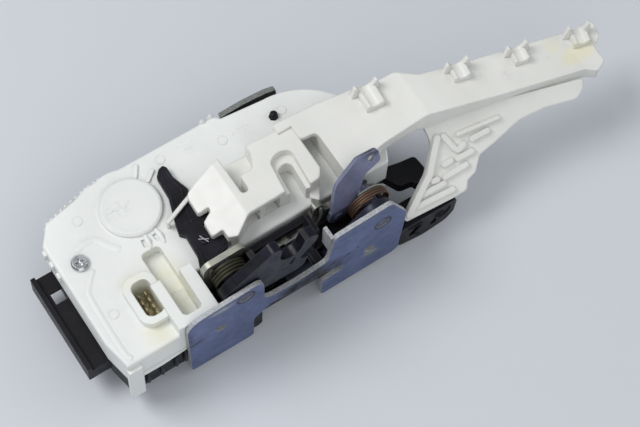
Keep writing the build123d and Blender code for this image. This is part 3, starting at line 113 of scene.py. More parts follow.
# Materials
class Shader:
    """A node material with a Principled shader and small helpers for its inputs."""

    def __init__(self, name):
        self.mat = bpy.data.materials.new(name)
        self.mat.use_nodes = True
        self.tree = self.mat.node_tree
        self.bsdf = self.tree.nodes["Principled BSDF"]
        self.texture = self.node("ShaderNodeTexCoord")
        self.place = self.texture.outputs["Object"]

    def node(self, kind, **inputs):
        """Adds a node and sets its inputs, where _ in a keyword stands for a blank."""
        made = self.tree.nodes.new(kind)
        for key, value in inputs.items():
            made.inputs[key.replace("_", " ")].default_value = value
        return made

    def link(self, source, socket):
        self.tree.links.new(source, socket)

    def feed(self, socket, value):
        """Sets an input to a number, or links it to another node's output."""
        if isinstance(value, (int, float)):
            socket.default_value = value
        else:
            self.link(value, socket)

    def math(self, operation, first, second=0.0, clamp=True):
        """Result of an operation on numbers or sockets, held between 0 and 1 if clamped."""
        made = self.node("ShaderNodeMath")
        made.operation = operation
        made.use_clamp = clamp
        self.feed(made.inputs[0], first)
        self.feed(made.inputs[1], second)
        return made.outputs[0]

    def vector_math(self, operation, first, second=None):
        """Vector node on a socket and, if there is a second value, a socket or a plain vector."""
        made = self.node("ShaderNodeVectorMath")
        made.operation = operation
        self.link(first, made.inputs[0])
        if isinstance(second, bpy.types.NodeSocket):
            self.link(second, made.inputs[1])
        elif second is not None:
            made.inputs[1].default_value = second
        return made

    def noise(self, scale, detail=4.0, rough=0.6, stretch=None):
        """Noise value in the part's own metres; scale is in cells per metre."""
        made = self.node("ShaderNodeTexNoise", Scale=scale, Detail=detail, Roughness=rough)
        source = self.place
        if stretch:
            mapping = self.node("ShaderNodeMapping", Scale=stretch)
            self.link(source, mapping.inputs["Vector"])
            source = mapping.outputs["Vector"]
        self.link(source, made.inputs["Vector"])
        return made.outputs["Fac"]

    def ramp(self, value, low, high, out_low=0.0, out_high=1.0):
        """Value mapped from one range to another, clamped."""
        made = self.node(
            "ShaderNodeMapRange", From_Min=low, From_Max=high, To_Min=out_low, To_Max=out_high
        )
        self.link(value, made.inputs["Value"])
        return made.outputs["Result"]

    def blend(self, factor, first, second):
        """First colour where the factor is 0 and second where it is 1, each a colour or a socket."""
        made = self.node("ShaderNodeMix")
        made.data_type = "RGBA"
        self.link(factor, made.inputs["Factor"])
        for index, value in ((MIX_FIRST, first), (MIX_SECOND, second)):
            if isinstance(value, tuple):
                made.inputs[index].default_value = (*value, 1.0)
            else:
                self.link(value, made.inputs[index])
        return made.outputs[MIX_RESULT]

    def bevel(self, radius):
        """Normal with its edges rounded over a radius in metres."""
        soft = self.node("ShaderNodeBevel", Radius=radius)
        soft.samples = BEVEL_SAMPLES
        return soft.outputs["Normal"]

    def edges(self, radius):
        """1 along edges, within a radius in metres and with a ragged border, 0 elsewhere."""
        true_normal = self.node("ShaderNodeNewGeometry").outputs["Normal"]
        turn = self.vector_math("DOT_PRODUCT", self.bevel(radius), true_normal)
        mask = self.ramp(turn.outputs["Value"], 0.995, 0.90)
        ragged = self.ramp(self.noise(900, detail=3), 0.35, 0.6, 0.4, 1.0)
        return self.math("MULTIPLY", mask, ragged)

    def cut_sides(self, axis):
        """1 on the faces of a sheet that don't face along its axis, 0 on the others."""
        parts = self.node("ShaderNodeSeparateXYZ")
        self.link(self.texture.outputs["Normal"], parts.inputs[0])
        facing = self.math("ABSOLUTE", parts.outputs[axis], clamp=False)
        return self.ramp(facing, 0.75, 0.45)

    def reach(self, centre, squeeze=EVEN):
        """Distance in metres from a point in millimetres, with each axis squeezed by a factor."""
        shift = self.vector_math("SUBTRACT", self.place, Vector(centre) * MM)
        scaled = self.vector_math("MULTIPLY", shift.outputs[0], squeeze)
        return self.vector_math("LENGTH", scaled.outputs[0]).outputs["Value"]

    def spot(self, centre, radius, squeeze=EVEN, ragged=0.5):
        """1 near a point, falling to 0 at a radius, both in millimetres, broken up by noise."""
        near = self.ramp(self.reach(centre, squeeze), radius * MM, radius * 0.35 * MM)
        patches = self.ramp(self.noise(160), 0.35, 0.6, 1 - ragged, 1.0)
        return self.math("MULTIPLY", near, patches)

    def ring(self, centre, radius, width):
        """1 on a ring in the X and Z plane about a point in millimetres, 0 elsewhere."""
        away = self.reach(centre, squeeze=(1, 0, 1))
        off = self.math("SUBTRACT", away, radius * MM, clamp=False)
        size = self.math("ABSOLUTE", off, clamp=False)
        return self.ramp(size, width * MM, width * 0.4 * MM)

    def surface(self, colour, rough, bump=None, bump_depth=0.00005, round_edge=0.0003):
        """Connects colour, roughness and a height to the shader, with softened edges."""
        self.link(colour, self.bsdf.inputs["Base Color"])
        self.link(rough, self.bsdf.inputs["Roughness"])
        normal = self.bevel(round_edge)
        if bump is not None:
            made = self.node("ShaderNodeBump", Strength=1.0, Distance=bump_depth)
            self.link(bump, made.inputs["Height"])
            self.link(normal, made.inputs["Normal"])
            normal = made.outputs["Normal"]
        self.link(normal, self.bsdf.inputs["Normal"])
        return self.mat


def shade(colour, factor):
    """Colour made lighter or darker."""
    return tuple(channel * factor for channel in colour)


def plastic(
    name, colour, rough=0.45, spots=(), grain=0.00002, glow=0.0, marks=(), round_edge=0.0005
):
    """Moulded plastic: flow marks, fine grain, dust, and yellowed or grey places."""
    look = Shader(name)
    flow = look.noise(42, rough=0.55, stretch=(1, 0.45, 1))
    tone = look.blend(look.ramp(flow, 0.3, 0.7), shade(colour, 0.93), shade(colour, 1.03))
    for centre, radius, squeeze, amount in spots:
        patch = look.math("MULTIPLY", look.spot(centre, radius, squeeze), amount)
        tone = look.blend(patch, tone, YELLOWED)
    for centre, radius, squeeze, amount in marks:
        patch = look.math("MULTIPLY", look.spot(centre, radius, squeeze, ragged=0.9), amount)
        smudge = look.ramp(look.noise(520, detail=5, rough=0.75, stretch=(1, 1.8, 1)), 0.46, 0.66)
        tone = look.blend(look.math("MULTIPLY", patch, smudge), tone, shade(colour, 0.35))
    grime = look.ramp(look.noise(26, detail=6, rough=0.75), 0.58, 0.78, 0.0, 0.14)
    tone = look.blend(grime, tone, shade(colour, 0.62))
    fine = look.noise(2600, detail=2)
    tone = look.blend(look.ramp(fine, 0.3, 0.7, 0.0, 0.05), tone, shade(colour, 0.8))
    sheen = look.ramp(look.noise(180), 0.3, 0.7, rough - 0.07, rough + 0.08)
    if glow:
        look.bsdf.inputs["Subsurface Weight"].default_value = glow
        look.bsdf.inputs["Subsurface Radius"].default_value = (0.0030, 0.0028, 0.0024)
        look.bsdf.inputs["Subsurface Scale"].default_value = 1.0
    relief = look.math(
        "ADD", look.math("MULTIPLY", fine, 0.3), look.math("MULTIPLY", flow, 0.7)
    )
    return look.surface(tone, sheen, relief, grain, round_edge)


def black_plastic(name, rough=0.42, worn=0.5, tint=(0.012, 0.011, 0.016)):
    """Black moulding with a faint tint, grey scuffs on its edges, dust and fine grain."""
    look = Shader(name)
    tone = look.blend(look.ramp(look.noise(90), 0.35, 0.7), BLACK, tint)
    scuffs = look.math("MULTIPLY", look.edges(0.0004), worn)
    tone = look.blend(scuffs, tone, SCUFF)
    dust = look.ramp(look.noise(420, detail=6, rough=0.7), 0.6, 0.75, 0.0, 0.2)
    tone = look.blend(dust, tone, DUST)
    sheen = look.ramp(look.noise(250, detail=5), 0.3, 0.7, rough - 0.08, rough + 0.1)
    look.bsdf.inputs["Specular IOR Level"].default_value = 0.18
    return look.surface(tone, sheen, look.noise(2200, detail=3), 0.00003)


def steel(
    name, colour, rough=0.34, edge=CUT_EDGE, dirt=0.35, cut=None, rings=(), stains_and_shade=(),
    metal=1.0, relief=0.00003,
):
    """Plated steel: cloudy tone, bright rough edges, oily dirt, stained places and places of painted
    shade, and rings round pins.
    """
    look = Shader(name)
    cloud = look.noise(60, detail=5)
    tone = look.blend(look.ramp(cloud, 0.35, 0.68), shade(colour, 0.78), shade(colour, 1.15))
    lines = look.noise(520)
    tone = look.blend(look.ramp(lines, 0.45, 0.7, 0.0, 0.3), tone, shade(colour, 1.35))
    smear = look.ramp(look.noise(48, detail=6, rough=0.7), 0.55, 0.75, 0.0, dirt)
    tone = look.blend(smear, tone, shade(colour, 0.4))
    for centre, radius, width, amount in rings:
        band = look.math("MULTIPLY", look.ring(centre, radius, width), amount)
        tone = look.blend(band, tone, shade(colour, 0.16))
    for centre, radius, squeeze, patch_colour, amount in stains_and_shade:
        patch = look.math("MULTIPLY", look.spot(centre, radius, squeeze, ragged=0.8), amount)
        tone = look.blend(patch, tone, patch_colour)
    bright = look.edges(0.00035)
    if cut is not None:
        speckle = look.ramp(look.noise(1300, rough=0.7), 0.3, 0.6, 0.35, 1.0)
        sides = look.math("MULTIPLY", look.cut_sides(cut), speckle)
        bright = look.math("MAXIMUM", bright, sides)
    tone = look.blend(bright, tone, edge)
    look.link(look.ramp(bright, 0.0, 1.0, metal, metal * 0.4), look.bsdf.inputs["Metallic"])
    sheen = look.ramp(look.noise(210, detail=5), 0.3, 0.7, rough - 0.08, rough + 0.14)
    sheen = look.math("ADD", sheen, look.math("MULTIPLY", bright, 0.2))
    return look.surface(tone, sheen, lines, relief, 0.00025)


# Yellowed places and grey smudges: centre and radius in millimetres, squeeze, strength
COVER_SPOTS = (
    ((-44.0, 24.0, 5.0), 17, (1.6, 0.8, 1.0), 0.45),
    ((-57.5, 31.5, 12.5), 7, EVEN, 0.5),
    ((-56.0, 21.5, 0.0), 11, (1.2, 0.8, 0.8), 0.9),
    ((-60.0, 7.5, 9.0), 8, EVEN, 0.5),
    ((-38.0, 20.0, 10.0), 8, EVEN, 0.3),
)
COVER_MARKS = (
    ((DOME[0] - 4.5, DOME[1] + 1.5, DOME_TOP), 7.0, (0.8, 1.3, 1), 0.6),
    ((-62, 57, COVER_TOP), 5, (0.7, 1.6, 1), 0.18),
    ((14.0, 66.0, COVER_TOP), 7, EVEN, 0.3),
    ((-8.0, 72.0, COVER_TOP), 6, EVEN, 0.25),
)
ARM_SPOTS = (
    ((152.5, 20.5, 12.0), 8, (0.7, 1.5, 1), 0.85),
    ((146.0, 29.0, 13.0), 5, EVEN, 0.5),
)
ARM_MARKS = (
    ((119.6, 26.9, 16.0), 5, EVEN, 0.3),
    ((109.3, 30.7, 17.5), 4, EVEN, 0.25),
    ((140.2, 24.1, 13.5), 3, EVEN, 0.3),
    ((69.6, 35.6, 23.0), 5, EVEN, 0.3),
)

# Stains and painted shade on steel: centre and radius in millimetres, squeeze, colour, strength
# Painted shade: the back plate darkened across the bay
BAY_PAINTED_SHADE = (
    ((8.0, 17.0, 10.0), 34, EVEN, SHADED_BAY, 1.0),
    ((40.0, 17.0, 14.0), 24, EVEN, SHADED_BAY, 0.9),
)
LEVER_STAINS = (
    ((50.0, 22.0, 32.0), 9, EVEN, EYE_GRIME, 0.8),
)
PLATE_STAINS_AND_SHADE = (
    ((35.6, 0, -13.0), 3.6, (0.7, 0, 1.3), YELLOW_SCRAPE, 0.9),
    ((-47.0, 0, -1.2), 4.5, (0.55, 0, 3.0), DARK_SCRATCH, 0.9),
    ((-50.0, 0, 6.0), 8.0, (4.0, 0, 0.8), DARK_SCRATCH, 0.6),
    ((-35.0, 0, 18.0), 4.0, (0.5, 0, 1.6), PALE_SCRAPE, 0.7),
    ((-22.0, 0, 14.8), 3.2, (0.8, 0, 1.4), DARK_RUB, 0.6),
    # Painted shade: a near-black band on the plate's face under its top lip
    ((4.0, 0, -3.4), 12.0, (0.6, 0, 1.35), LIP_PAINTED_SHADE, 1.0),
    ((9.0, 0, -5.0), 13.0, (0.6, 0, 1.35), LIP_PAINTED_SHADE, 0.95),
)

# Dark rings round the pins and two dots: centre, radius and width in millimetres, strength
PLATE_RINGS = (
    ((CLAW_PIN[0], 0, CLAW_PIN[1]), 3.6, 1.0, 0.85),
    ((PAWL_PIN[0], 0, PAWL_PIN[1]), 3.6, 1.0, 0.85),
    ((24.5, 0, -0.6), 0.6, 0.7, 0.7),
    ((29.2, 0, 0.6), 0.3, 0.7, 0.8),
)

# One material for each slot of the record
materials = {
    "white_plastic": plastic(
        "cover_white", WHITE, 0.46, COVER_SPOTS,
        grain=0.00016, glow=0.08, marks=COVER_MARKS, round_edge=0.0007,
    ),
    "ivory_plastic": plastic(
        "arm_ivory", IVORY, 0.38, ARM_SPOTS,
        grain=0.00008, glow=0.15, marks=ARM_MARKS, round_edge=0.0011,
    ),
    "black_plastic": black_plastic("moulded_black"),
    "bumper_rubber": black_plastic("rubber_black", rough=0.7, worn=0.2),
    # The release lever's colour carries a painted blue reflection
    "zinc_steel": steel("lever_zinc", LEVER_ZINC_BLUE_REFLECTED, 0.42, stains_and_shade=LEVER_STAINS, metal=0.6),
    # The back plate's zinc, darkened in the bay by painted shade
    "yellow_zinc": steel(
        "plate_yellow_zinc", YELLOW_ZINC, 0.4, edge=(0.50, 0.50, 0.46),
        stains_and_shade=BAY_PAINTED_SHADE, metal=0.6,
    ),
    "pin_steel": steel(
        "pin_ground", PIN_BLUE, 0.4, edge=(0.14, 0.145, 0.18), dirt=0.5, metal=0.7
    ),
    "claw_steel": steel(
        "claw_blued", CLAW_BLUE, 0.45, edge=(0.07, 0.075, 0.11), metal=0.5
    ),
    "copper_wire": steel(
        "wire_copper", COPPER, 0.45, edge=(0.19, 0.125, 0.09), dirt=0.7, metal=0.7
    ),
    "dark_wire": steel(
        "wire_dark", DARK_WIRE, 0.5, edge=(0.10, 0.095, 0.06), dirt=0.5, metal=0.7
    ),
    "bright_zinc": steel(
        "screw_zinc", BRIGHT_ZINC, 0.2, edge=(0.8, 0.8, 0.8), dirt=0.15, relief=0.000004
    ),
    "contact_brass": steel(
        "contact_brass", BRASS, 0.3, edge=(0.70, 0.62, 0.40), dirt=0.3
    ),
    "motor_steel": steel("motor_can_steel", STEEL, 0.3),
    "gear_plastic": plastic("gear_natural", NATURAL, 0.4),
}

# Materials of single nodes, which differ from that of their slot
special = {
    # The plate's colour carries a painted blue reflection, and its lip band is painted shade
    "latch_plate": steel(
        "plate_zinc", PLATE_ZINC_BLUE_REFLECTED, 0.45, dirt=0.3, cut=AXIS_Y,
        rings=PLATE_RINGS, stains_and_shade=PLATE_STAINS_AND_SHADE, metal=0.65,
    ),
    "striker_channel": black_plastic("channel_black", rough=0.4, worn=0.7),
    "claw_coat": black_plastic("coat_black", rough=0.3, tint=(0.010, 0.011, 0.022)),
    "outside_lever": steel(
        "outer_dark", DARK_STEEL, 0.5, edge=(0.27, 0.28, 0.26), cut=AXIS_Y, metal=0.4
    ),
    "inside_lever_pin": black_plastic("pin_black", rough=0.4, worn=0.8),
    "inside_lever": black_plastic(
        "lever_black", rough=0.5, worn=0.35, tint=(0.020, 0.017, 0.026)
    ),
}
for part in frame["record"]["subparts"]:
    node = frame["nodes"][part["node"]]
    node.data.materials.clear()
    node.data.materials.append(special.get(part["node"], materials[part["material_slot"]]))

# Values that the mesh helpers use, with the slab's lip in millimetres
SHARP_ANGLE = math.radians(45)
END_TAPER = 0.55
SLAB_LIP = 0.35
CURVE_STEPS = 6
COIL_STEPS = 36


# Mesh helpers
def add_piece(name, verts, faces, slot, look=None, body=HOUSING):
    """Makes a smooth mesh piece from points in millimetres, with the material of its slot or a given
    look, and its body.
    """
    mesh = bpy.data.meshes.new(name)
    mesh.from_pydata([Vector(v) * MM for v in verts], [], faces)
    for face in mesh.polygons:
        face.use_smooth = True
    mesh.set_sharp_from_angle(angle=SHARP_ANGLE)
    obj = bpy.data.objects.new(name, mesh)
    bpy.context.collection.objects.link(obj)
    mesh.materials.append(look or materials[slot])
    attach(obj, body)
    return obj


def wall(rings, count):
    """Faces between rings of points that follow one another, each with the same count."""
    faces = []
    for i in range(rings - 1):
        for k in range(count):
            here, beside = i * count + k, i * count + (k + 1) % count
            faces.append((here, beside, beside + count, here + count))
    return faces


def end_faces(rings, count):
    """The two faces that close the first and the last of those rings."""
    first = tuple(range(count - 1, -1, -1))
    last = tuple(range((rings - 1) * count, rings * count))
    return [first, last]


def bar(points, width, height, up=(0, 0, 1), sides=10, taper=True):
    """Points and faces of a rounded bar along a path, with an oval section and closed ends."""
    path = [Vector(p) for p in points]
    last = len(path) - 1
    up = Vector(up).normalized()
    verts = []
    for i, place in enumerate(path):
        ahead = path[min(i + 1, last)] - path[max(i - 1, 0)]
        side = ahead.cross(up).normalized()
        lift = side.cross(ahead).normalized()
        narrow = END_TAPER if taper and i in (0, last) else 1.0
        for k in range(sides):
            angle = 2 * math.pi * k / sides
            across = side * math.cos(angle) * width / 2 * narrow
            raised = lift * math.sin(angle) * height / 2 * narrow
            verts.append(place + across + raised)
    return verts, wall(len(path), sides) + end_faces(len(path), sides)


def merge(parts):
    """Joins several lists of points and faces into one."""
    verts, faces = [], []
    for more_verts, more_faces in parts:
        start = len(verts)
        verts += more_verts
        faces += [tuple(start + i for i in face) for face in more_faces]
    return verts, faces


def turned_form(centre, profile, steps=48):
    """Points and faces of a form turned about the vertical, from radius and height pairs."""
    verts = []
    for radius, z in profile:
        for k in range(steps):
            angle = 2 * math.pi * k / steps
            x = centre[0] + radius * math.cos(angle)
            y = centre[1] + radius * math.sin(angle)
            verts.append((x, y, z))
    return verts, wall(len(profile), steps)


def slab(outline, low, high, axis=AXIS_Z):
    """Points and faces of a plate across an axis, with its upper rim chamfered."""
    count = len(outline)
    middle = [sum(values) / count for values in zip(*outline)]
    levels = ((low, 0.0), (high - SLAB_LIP, 0.0), (high, SLAB_LIP))
    verts = []
    for level, inset in levels:
        for a, b in outline:
            keep = 1 - inset / math.hypot(a - middle[0], b - middle[1])
            point = [middle[0] + (a - middle[0]) * keep, middle[1] + (b - middle[1]) * keep]
            point.insert(axis, level)
            verts.append(tuple(point))
    return verts, wall(len(levels), count) + end_faces(len(levels), count)


def smooth_path(points):
    """Points of a Catmull-Rom curve through the given ones."""
    path = [Vector(p) for p in points]
    ends = [2 * path[0] - path[1], *path, 2 * path[-1] - path[-2]]
    made = []
    for a, b, c, d in zip(ends, ends[1:], ends[2:], ends[3:]):
        for k in range(CURVE_STEPS):
            t = k / CURVE_STEPS
            square = (2 * a - 5 * b + 4 * c - d) * t**2
            cube = (3 * b - a - 3 * c + d) * t**3
            made.append(0.5 * (2 * b + (c - a) * t + square + cube))
    return [*made, path[-1]]


def coil(pin, radius, wire, start_y, pitch, turns, first_angle, legs):
    """Points and faces of a slightly uneven coil of round wire about a pin, with its two legs."""
    path = [Vector(legs[0])]
    for k in range(int(turns * COIL_STEPS) + 1):
        angle = math.radians(first_angle) + 2 * math.pi * k / COIL_STEPS
        uneven = radius + 0.06 * math.sin(2.3 * angle)
        path.append(Vector((
            pin[0] + uneven * math.cos(angle),
            start_y + pitch * k / COIL_STEPS,
            pin[1] + uneven * math.sin(angle),
        )))
    path.append(Vector(legs[1]))
    return bar(path, width=2 * wire, height=2 * wire, up=(0.1, 1, 0.05), taper=False)


# Springs: coils round the claw pin and the pawl pin
COIL_START_Y = 8.4
claw_coil = add_piece(
    "claw_coil",
    *coil(
        CLAW_PIN,
        radius=7.1,
        wire=0.68,
        start_y=COIL_START_Y,
        pitch=1.42,
        turns=4.0,
        first_angle=180,
        legs=((-31.6, COIL_START_Y, 6.5), (-31.2, 14.1, 24.5)),
    ),
    "dark_wire",
)
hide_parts("claw_spring")
pawl_coil = add_piece(
    "pawl_coil",
    *coil(
        PAWL_PIN,
        radius=8.7,
        wire=0.5,
        start_y=COIL_START_Y,
        pitch=1.06,
        turns=3.45,
        first_angle=90,
        legs=((34.5, COIL_START_Y, 19.6), (47.5, 12.0, 2.5)),
    ),
    "copper_wire",
)
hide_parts("pawl_spring")

# Dome: soft edge round its top, and two low fins in front of it
DOME_PROFILE = (
    (DOME_R + 1.6, COVER_TOP - 0.08),
    (DOME_R + 0.7, COVER_TOP + 0.08),
    (DOME_R - 0.02, COVER_TOP + 0.22),
    (DOME_R - 0.08, DOME_TOP - 0.5),
    (DOME_R - 0.5, DOME_TOP - 0.12),
    (DOME_R - 1.2, DOME_TOP + 0.04),
    (DOME_R - 2.2, DOME_TOP + 0.06),
    (DOME_R - 4.0, DOME_TOP - 0.2),
)
FINS = (
    ((-42.5, 46.6), (-43.0, 40.4)),
    ((-37.5, 46.6), (-37.2, 39.6)),
)


def fin(start, end):
    """Rounded fin on the cover, highest at its middle."""
    middle = ((start[0] + end[0]) / 2, (start[1] + end[1]) / 2)
    path = (
        (*start, COVER_TOP + 0.2),
        (*middle, COVER_TOP + 0.7),
        (*end, COVER_TOP - 0.4),
    )
    return bar(path, width=2.6, height=2.4)


# Cover: ridge along its left side, fold beside the dome, and the trench's floor
RIDGE = ((-66.5, 45.5), (-72.0, 39.5), (-74.2, 34.0), (-74.6, 8.0), (-72.6, 4.6))
FOLD = ((-69.4, 54.9), (-64.5, 56.2), (-60.1, 55.2), (-56.4, 49.8), (-53.3, 45.8))
TRENCH = ((-48.7, 5.8), (-39.9, 5.8), (-39.7, 12.0), (-39.7, 21.0), (-48.7, 21.0), (-48.9, 12.0))
TRENCH_FLOOR_Z = (3.9, 5.0)
RIDGE_Z = COVER_TOP - 0.85
FOLD_Z = COVER_TOP - 1.0
add_piece("dome_edge", *turned_form(DOME, DOME_PROFILE), "white_plastic")
add_piece(
    "cover_ridge",
    *bar(smooth_path([(x, y, RIDGE_Z) for x, y in RIDGE]), width=3.6, height=2.5, sides=20),
    "white_plastic",
)
add_piece("dome_fins", *merge([fin(*line) for line in FINS]), "white_plastic")
add_piece(
    "cover_fold",
    *bar(smooth_path([(x, y, FOLD_Z) for x, y in FOLD]), width=5.0, height=2.6, sides=24),
    "white_plastic",
)
add_piece("trench_floor", *slab(TRENCH, *TRENCH_FLOOR_Z), "white_plastic")

# Cover's rim: small teeth along its rear left side, and two spikes at the rear
RIM = ((-78.6, 62.0), (-73.4, 71.6), (-66.0, 73.8), (-58.4, 75.6), (-51.0, 77.4), (-44.0, 78.1))
TEETH_PER_SIDE = 3
SPIKES = ((3.6, 77.6), (7.7, 77.9))
SPIKE_PROFILE = (
    (1.5, COVER_TOP - 2.0),
    (1.3, COVER_TOP),
    (0.7, COVER_TOP + 1.4),
    (0.05, COVER_TOP + 2.4),
)


def rim_teeth():
    """Rounded upright teeth, a little uneven in their places and lengths."""
    made = []
    for (x0, y0), (x1, y1) in zip(RIM, RIM[1:]):
        for k in range(TEETH_PER_SIDE):
            t = (k + 0.3 + 0.4 * random.random()) / TEETH_PER_SIDE
            x, y = x0 + (x1 - x0) * t, y0 + (y1 - y0) * t
            foot = COVER_TOP - (3.0 + 2.0 * random.random())
            path = ((x, y, foot), (x, y, COVER_TOP - 1.5), (x, y, COVER_TOP - 0.4))
            made.append(bar(path, width=1.7, height=1.5, up=(1, 0.4, 0)))
    return merge(made)


add_piece("rim_teeth", *rim_teeth(), "white_plastic")
add_piece(
    "rim_spikes",
    *merge([turned_form(spike, SPIKE_PROFILE, steps=5) for spike in SPIKES]),
    "white_plastic",
)

# Cover: round ejector marks, a black stub behind the cable block, and a lip on its front wall
EJECTORS = ((-70.0, 24.0), (-20.0, 72.0), (6.0, 66.0), (34.0, 65.0), (-62.0, 66.0))
EJECTOR_PROFILE = (
    (2.2, COVER_TOP - 0.05),
    (2.2, COVER_TOP + 0.12),
    (1.9, COVER_TOP + 0.16),
    (1.6, COVER_TOP + 0.02),
)
STUB = (29.7, 64.2)
STUB_PROFILE = (
    (2.2, COVER_TOP - 0.1),
    (1.8, COVER_TOP + 0.5),
    (1.7, COVER_TOP + 2.3),
    (1.2, COVER_TOP + 2.8),
    (0.05, COVER_TOP + 2.9),
)
FRONT_LIP = ((-75.5, 2.2, -4.9), (-74.0, 1.9, -4.9), (-62.0, 1.8, -5.0), (-50.8, 2.0, -4.9))
add_piece(
    "ejector_marks",
    *merge([turned_form(mark, EJECTOR_PROFILE, steps=24) for mark in EJECTORS]),
    "white_plastic",
)
add_piece("cover_stub", *turned_form(STUB, STUB_PROFILE, steps=7), "black_plastic")
add_piece("front_lip", *bar(FRONT_LIP, width=2.2, height=1.8, up=(0, 1, 0)), "white_plastic")

# Outside lever: flange on its upper side, seen past the cover's rim
OUTER_FLANGE = (
    (14.6, -6.6),
    (13.4, 1.2),
    (25.0, 1.9),
    (36.0, 0.6),
    (40.6, -1.2),
    (41.3, -8.6),
    (28.0, -8.8),
)
OUTER_FLANGE_Y = (79.2, 81.6)
add_piece(
    "outer_flange",
    *slab(OUTER_FLANGE, *OUTER_FLANGE_Y, axis=AXIS_Y),
    "zinc_steel",
    look=special["outside_lever"],
    body="outside_lever",
)

# Bay: worn lip along the back plate's mouth, and a post beside the channel
MOUTH_LIP = (
    (4.0, 3.4),
    (6.4, 4.0),
    (13.1, 4.9),
    (17.4, 5.9),
    (19.5, 8.0),
    (20.7, 13.0),
    (20.5, 19.5),
)
MOUTH_LIP_Y = 15.6
POST = ((9.4, 2.0), (15.7, 2.0), (15.7, 19.0), (14.8, 20.3), (10.4, 20.3), (9.4, 19.2))
POST_X = (-14.9, -12.2)
add_piece(
    "mouth_lip",
    *bar(
        smooth_path([(x, MOUTH_LIP_Y, z) for x, z in MOUTH_LIP]),
        width=1.7,
        height=1.1,
        up=(0, 1, 0),
    ),
    "yellow_zinc",
    look=steel("lip_worn", (0.24, 0.24, 0.23), 0.5, edge=(0.36, 0.36, 0.34), metal=0.4),
)
add_piece(
    "channel_post",
    *slab(POST, *POST_X, axis=AXIS_X),
    "black_plastic",
    look=black_plastic("post_worn", rough=0.55, worn=1.0, tint=(0.09, 0.09, 0.095)),
)

# Bay: bent strip on the pawl's coil, an arc about the pawl pin with its angles in degrees
RETAINER_R = 8.5
RETAINER_Y = 12.6
RETAINER_START = 118
RETAINER_SWEEP = 150
RETAINER_STEPS = 24


def retainer_path():
    """Points of the strip's arc, from its start back through the sweep."""
    path = []
    for k in range(RETAINER_STEPS + 1):
        angle = math.radians(RETAINER_START - RETAINER_SWEEP * k / RETAINER_STEPS)
        x = PAWL_PIN[0] + RETAINER_R * math.cos(angle)
        z = PAWL_PIN[1] + RETAINER_R * math.sin(angle)
        path.append((x, RETAINER_Y, z))
    return path


add_piece(
    "coil_retainer",
    *bar(retainer_path(), width=1.9, height=0.7, up=(0, 1, 0)),
    "zinc_steel",
    look=steel("retainer_zinc", (0.36, 0.37, 0.33), 0.45, edge=(0.5, 0.5, 0.45), metal=0.5),
)

# Inside lever: raised border and cross ribs on its upper face, and a light grey cross on its pin
# that is a painted glint
LEVER_RIBS = (
    ((-24.6, 65.2), (-25.1, 55.4), (-29.0, 43.6)),
    ((-21.4, 64.4), (-21.2, 58.6), (-20.2, 54.6), (-23.0, 47.2), (-24.4, 40.2)),
    ((-29.0, 37.4), (-28.4, 26.4), (-29.8, 22.0)),
    ((-25.2, 22.6), (-18.4, 25.4), (-17.6, 28.9)),
    ((-29.4, 41.0), (-17.2, 41.0)),
    ((-25.1, 55.0), (-20.2, 54.6)),
)
CROSS = (((-26.3, 32.0), (-22.5, 29.9)), ((-25.1, 33.0), (-23.4, 28.9)))
CROSS_Z = 14.3
RIB_Z = LEVER_TOP - 0.1
add_piece(
    "lever_ribs",
    *merge([
        bar([(x, y, RIB_Z) for x, y in rib], width=1.0, height=0.9)
        for rib in LEVER_RIBS
    ]),
    "black_plastic",
    look=special["inside_lever"],
    body="inside_lever",
)
# Painted glint: a light grey cross of two small bars on the lever's pin
add_piece(
    "pin_glint_cross",
    *merge([bar([(x, y, CROSS_Z) for x, y in leg], width=0.7, height=0.5) for leg in CROSS]),
    "pin_steel",
    look=steel("cross_painted_glint", (0.45, 0.45, 0.46), 0.4, edge=(0.6, 0.6, 0.6), metal=0.3),
)

# Latch body's wing: hook-shaped ridges on its face
HOOKS = (
    ((56.5, -17.0), (61.5, -16.6), (63.6, -18.8), (61.0, -22.4), (60.6, -25.6), (63.0, -28.0)),
    ((73.6, -17.2), (70.8, -19.8), (72.8, -22.4), (76.8, -20.4), (78.0, -17.2)),
)
HOOK_Y = 0.95
add_piece(
    "wing_hooks",
    *merge([
        bar(smooth_path([(x, HOOK_Y, z) for x, z in hook]), width=1.1, height=1.1, up=(0, 1, 0))
        for hook in HOOKS
    ]),
    "black_plastic",
)

# Base: upright ribs along the left end of its front wall, sunk at both ends
BASE_RIBS_X = (-68.5, -62.0, -55.5, -51.2)
BASE_RIB = ((3.1, -20.5), (2.6, -18.0), (2.6, -9.5), (3.1, -7.2))
add_piece(
    "base_ribs",
    *merge([
        bar([(x, y, z) for y, z in BASE_RIB], width=1.6, height=2.4, up=(0, 1, 0))
        for x in BASE_RIBS_X
    ]),
    "black_plastic",
)

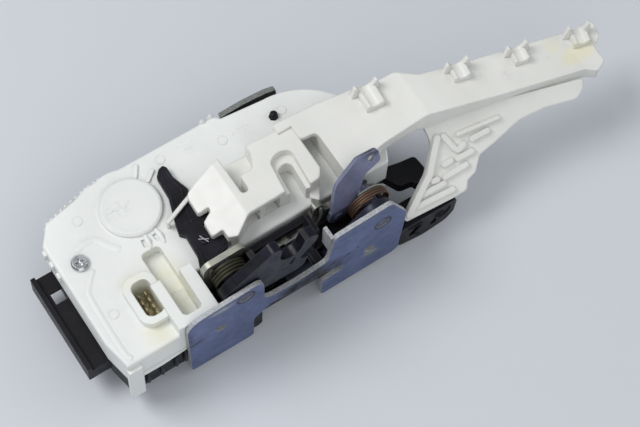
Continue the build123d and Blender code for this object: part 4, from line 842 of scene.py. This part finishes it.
# Camera at the photograph's viewing angle
YAW, PITCH, ROLL = math.radians(38.1), math.radians(65.1), math.radians(5.3)
LENS_PX = 1800.0
FRAME_W = 640.0
SENSOR_MM = 36.0
EYE = Vector((-0.1659, -0.2221, 0.6652))
turn = Matrix.Rotation(YAW, 3, "Z")
tilt = Matrix((
    (1, 0, 0),
    (0, -math.sin(PITCH), -math.cos(PITCH)),
    (0, math.cos(PITCH), -math.sin(PITCH)),
))
right, down, ahead = Matrix.Rotation(ROLL, 3, "Z") @ tilt @ turn
camera_data = bpy.data.cameras.new("camera")
camera_data.lens = LENS_PX / FRAME_W * SENSOR_MM
camera_data.sensor_width = SENSOR_MM
camera = bpy.data.objects.new("camera", camera_data)
bpy.context.collection.objects.link(camera)
camera.matrix_world = Matrix.Translation(EYE) @ Matrix((right, -down, -ahead)).transposed().to_4x4()
bpy.context.scene.camera = camera

# Floor
FLOOR_Z = CAD_BOX[0].z
FLOOR_HALF = 3.0
FLOOR_TONES = ((0.60, 0.62, 0.66), (0.63, 0.65, 0.69))
floor_mesh = bpy.data.meshes.new("floor")
floor_mesh.from_pydata(
    [
        (-FLOOR_HALF, -FLOOR_HALF, FLOOR_Z),
        (FLOOR_HALF, -FLOOR_HALF, FLOOR_Z),
        (FLOOR_HALF, FLOOR_HALF, FLOOR_Z),
        (-FLOOR_HALF, FLOOR_HALF, FLOOR_Z),
    ],
    [],
    [(0, 1, 2, 3)],
)
floor = bpy.data.objects.new("floor", floor_mesh)
bpy.context.collection.objects.link(floor)
floor_look = Shader("floor_pale")
floor_tone = floor_look.blend(floor_look.noise(4, detail=3), *FLOOR_TONES)
floor_rough = floor_look.ramp(floor_look.noise(9, detail=2), 0, 1, 0.8, 0.9)
floor_mesh.materials.append(floor_look.surface(floor_tone, floor_rough))

# Lamps and world: place and size in metres, power in watts
LAMPS = (
    ("key", (-0.45, 0.35, 0.85), 0.5, 5.8),
    ("side", (0.75, -0.3, 0.6), 0.6, 1.6),
    ("front", (-0.30, -0.75, 0.70), 0.9, 2.6),
)
AIM = Vector((0.03, 0.03, 0.0))
WORLD_COLOUR = (0.9, 0.95, 1.0, 1.0)
WORLD_STRENGTH = 0.38


def lamp(name, place, size, power):
    """Square area lamp aimed at the object."""
    data = bpy.data.lights.new(name, "AREA")
    data.size = size
    data.energy = power
    obj = bpy.data.objects.new(name, data)
    bpy.context.collection.objects.link(obj)
    obj.location = place
    obj.rotation_euler = (AIM - Vector(place)).to_track_quat("-Z", "Y").to_euler()


for settings in LAMPS:
    lamp(*settings)
world = bpy.data.worlds.new("world")
world.use_nodes = True
backdrop = world.node_tree.nodes["Background"]
backdrop.inputs["Color"].default_value = WORLD_COLOUR
backdrop.inputs["Strength"].default_value = WORLD_STRENGTH
bpy.context.scene.world = world
bpy.context.scene.view_settings.view_transform = "Standard"
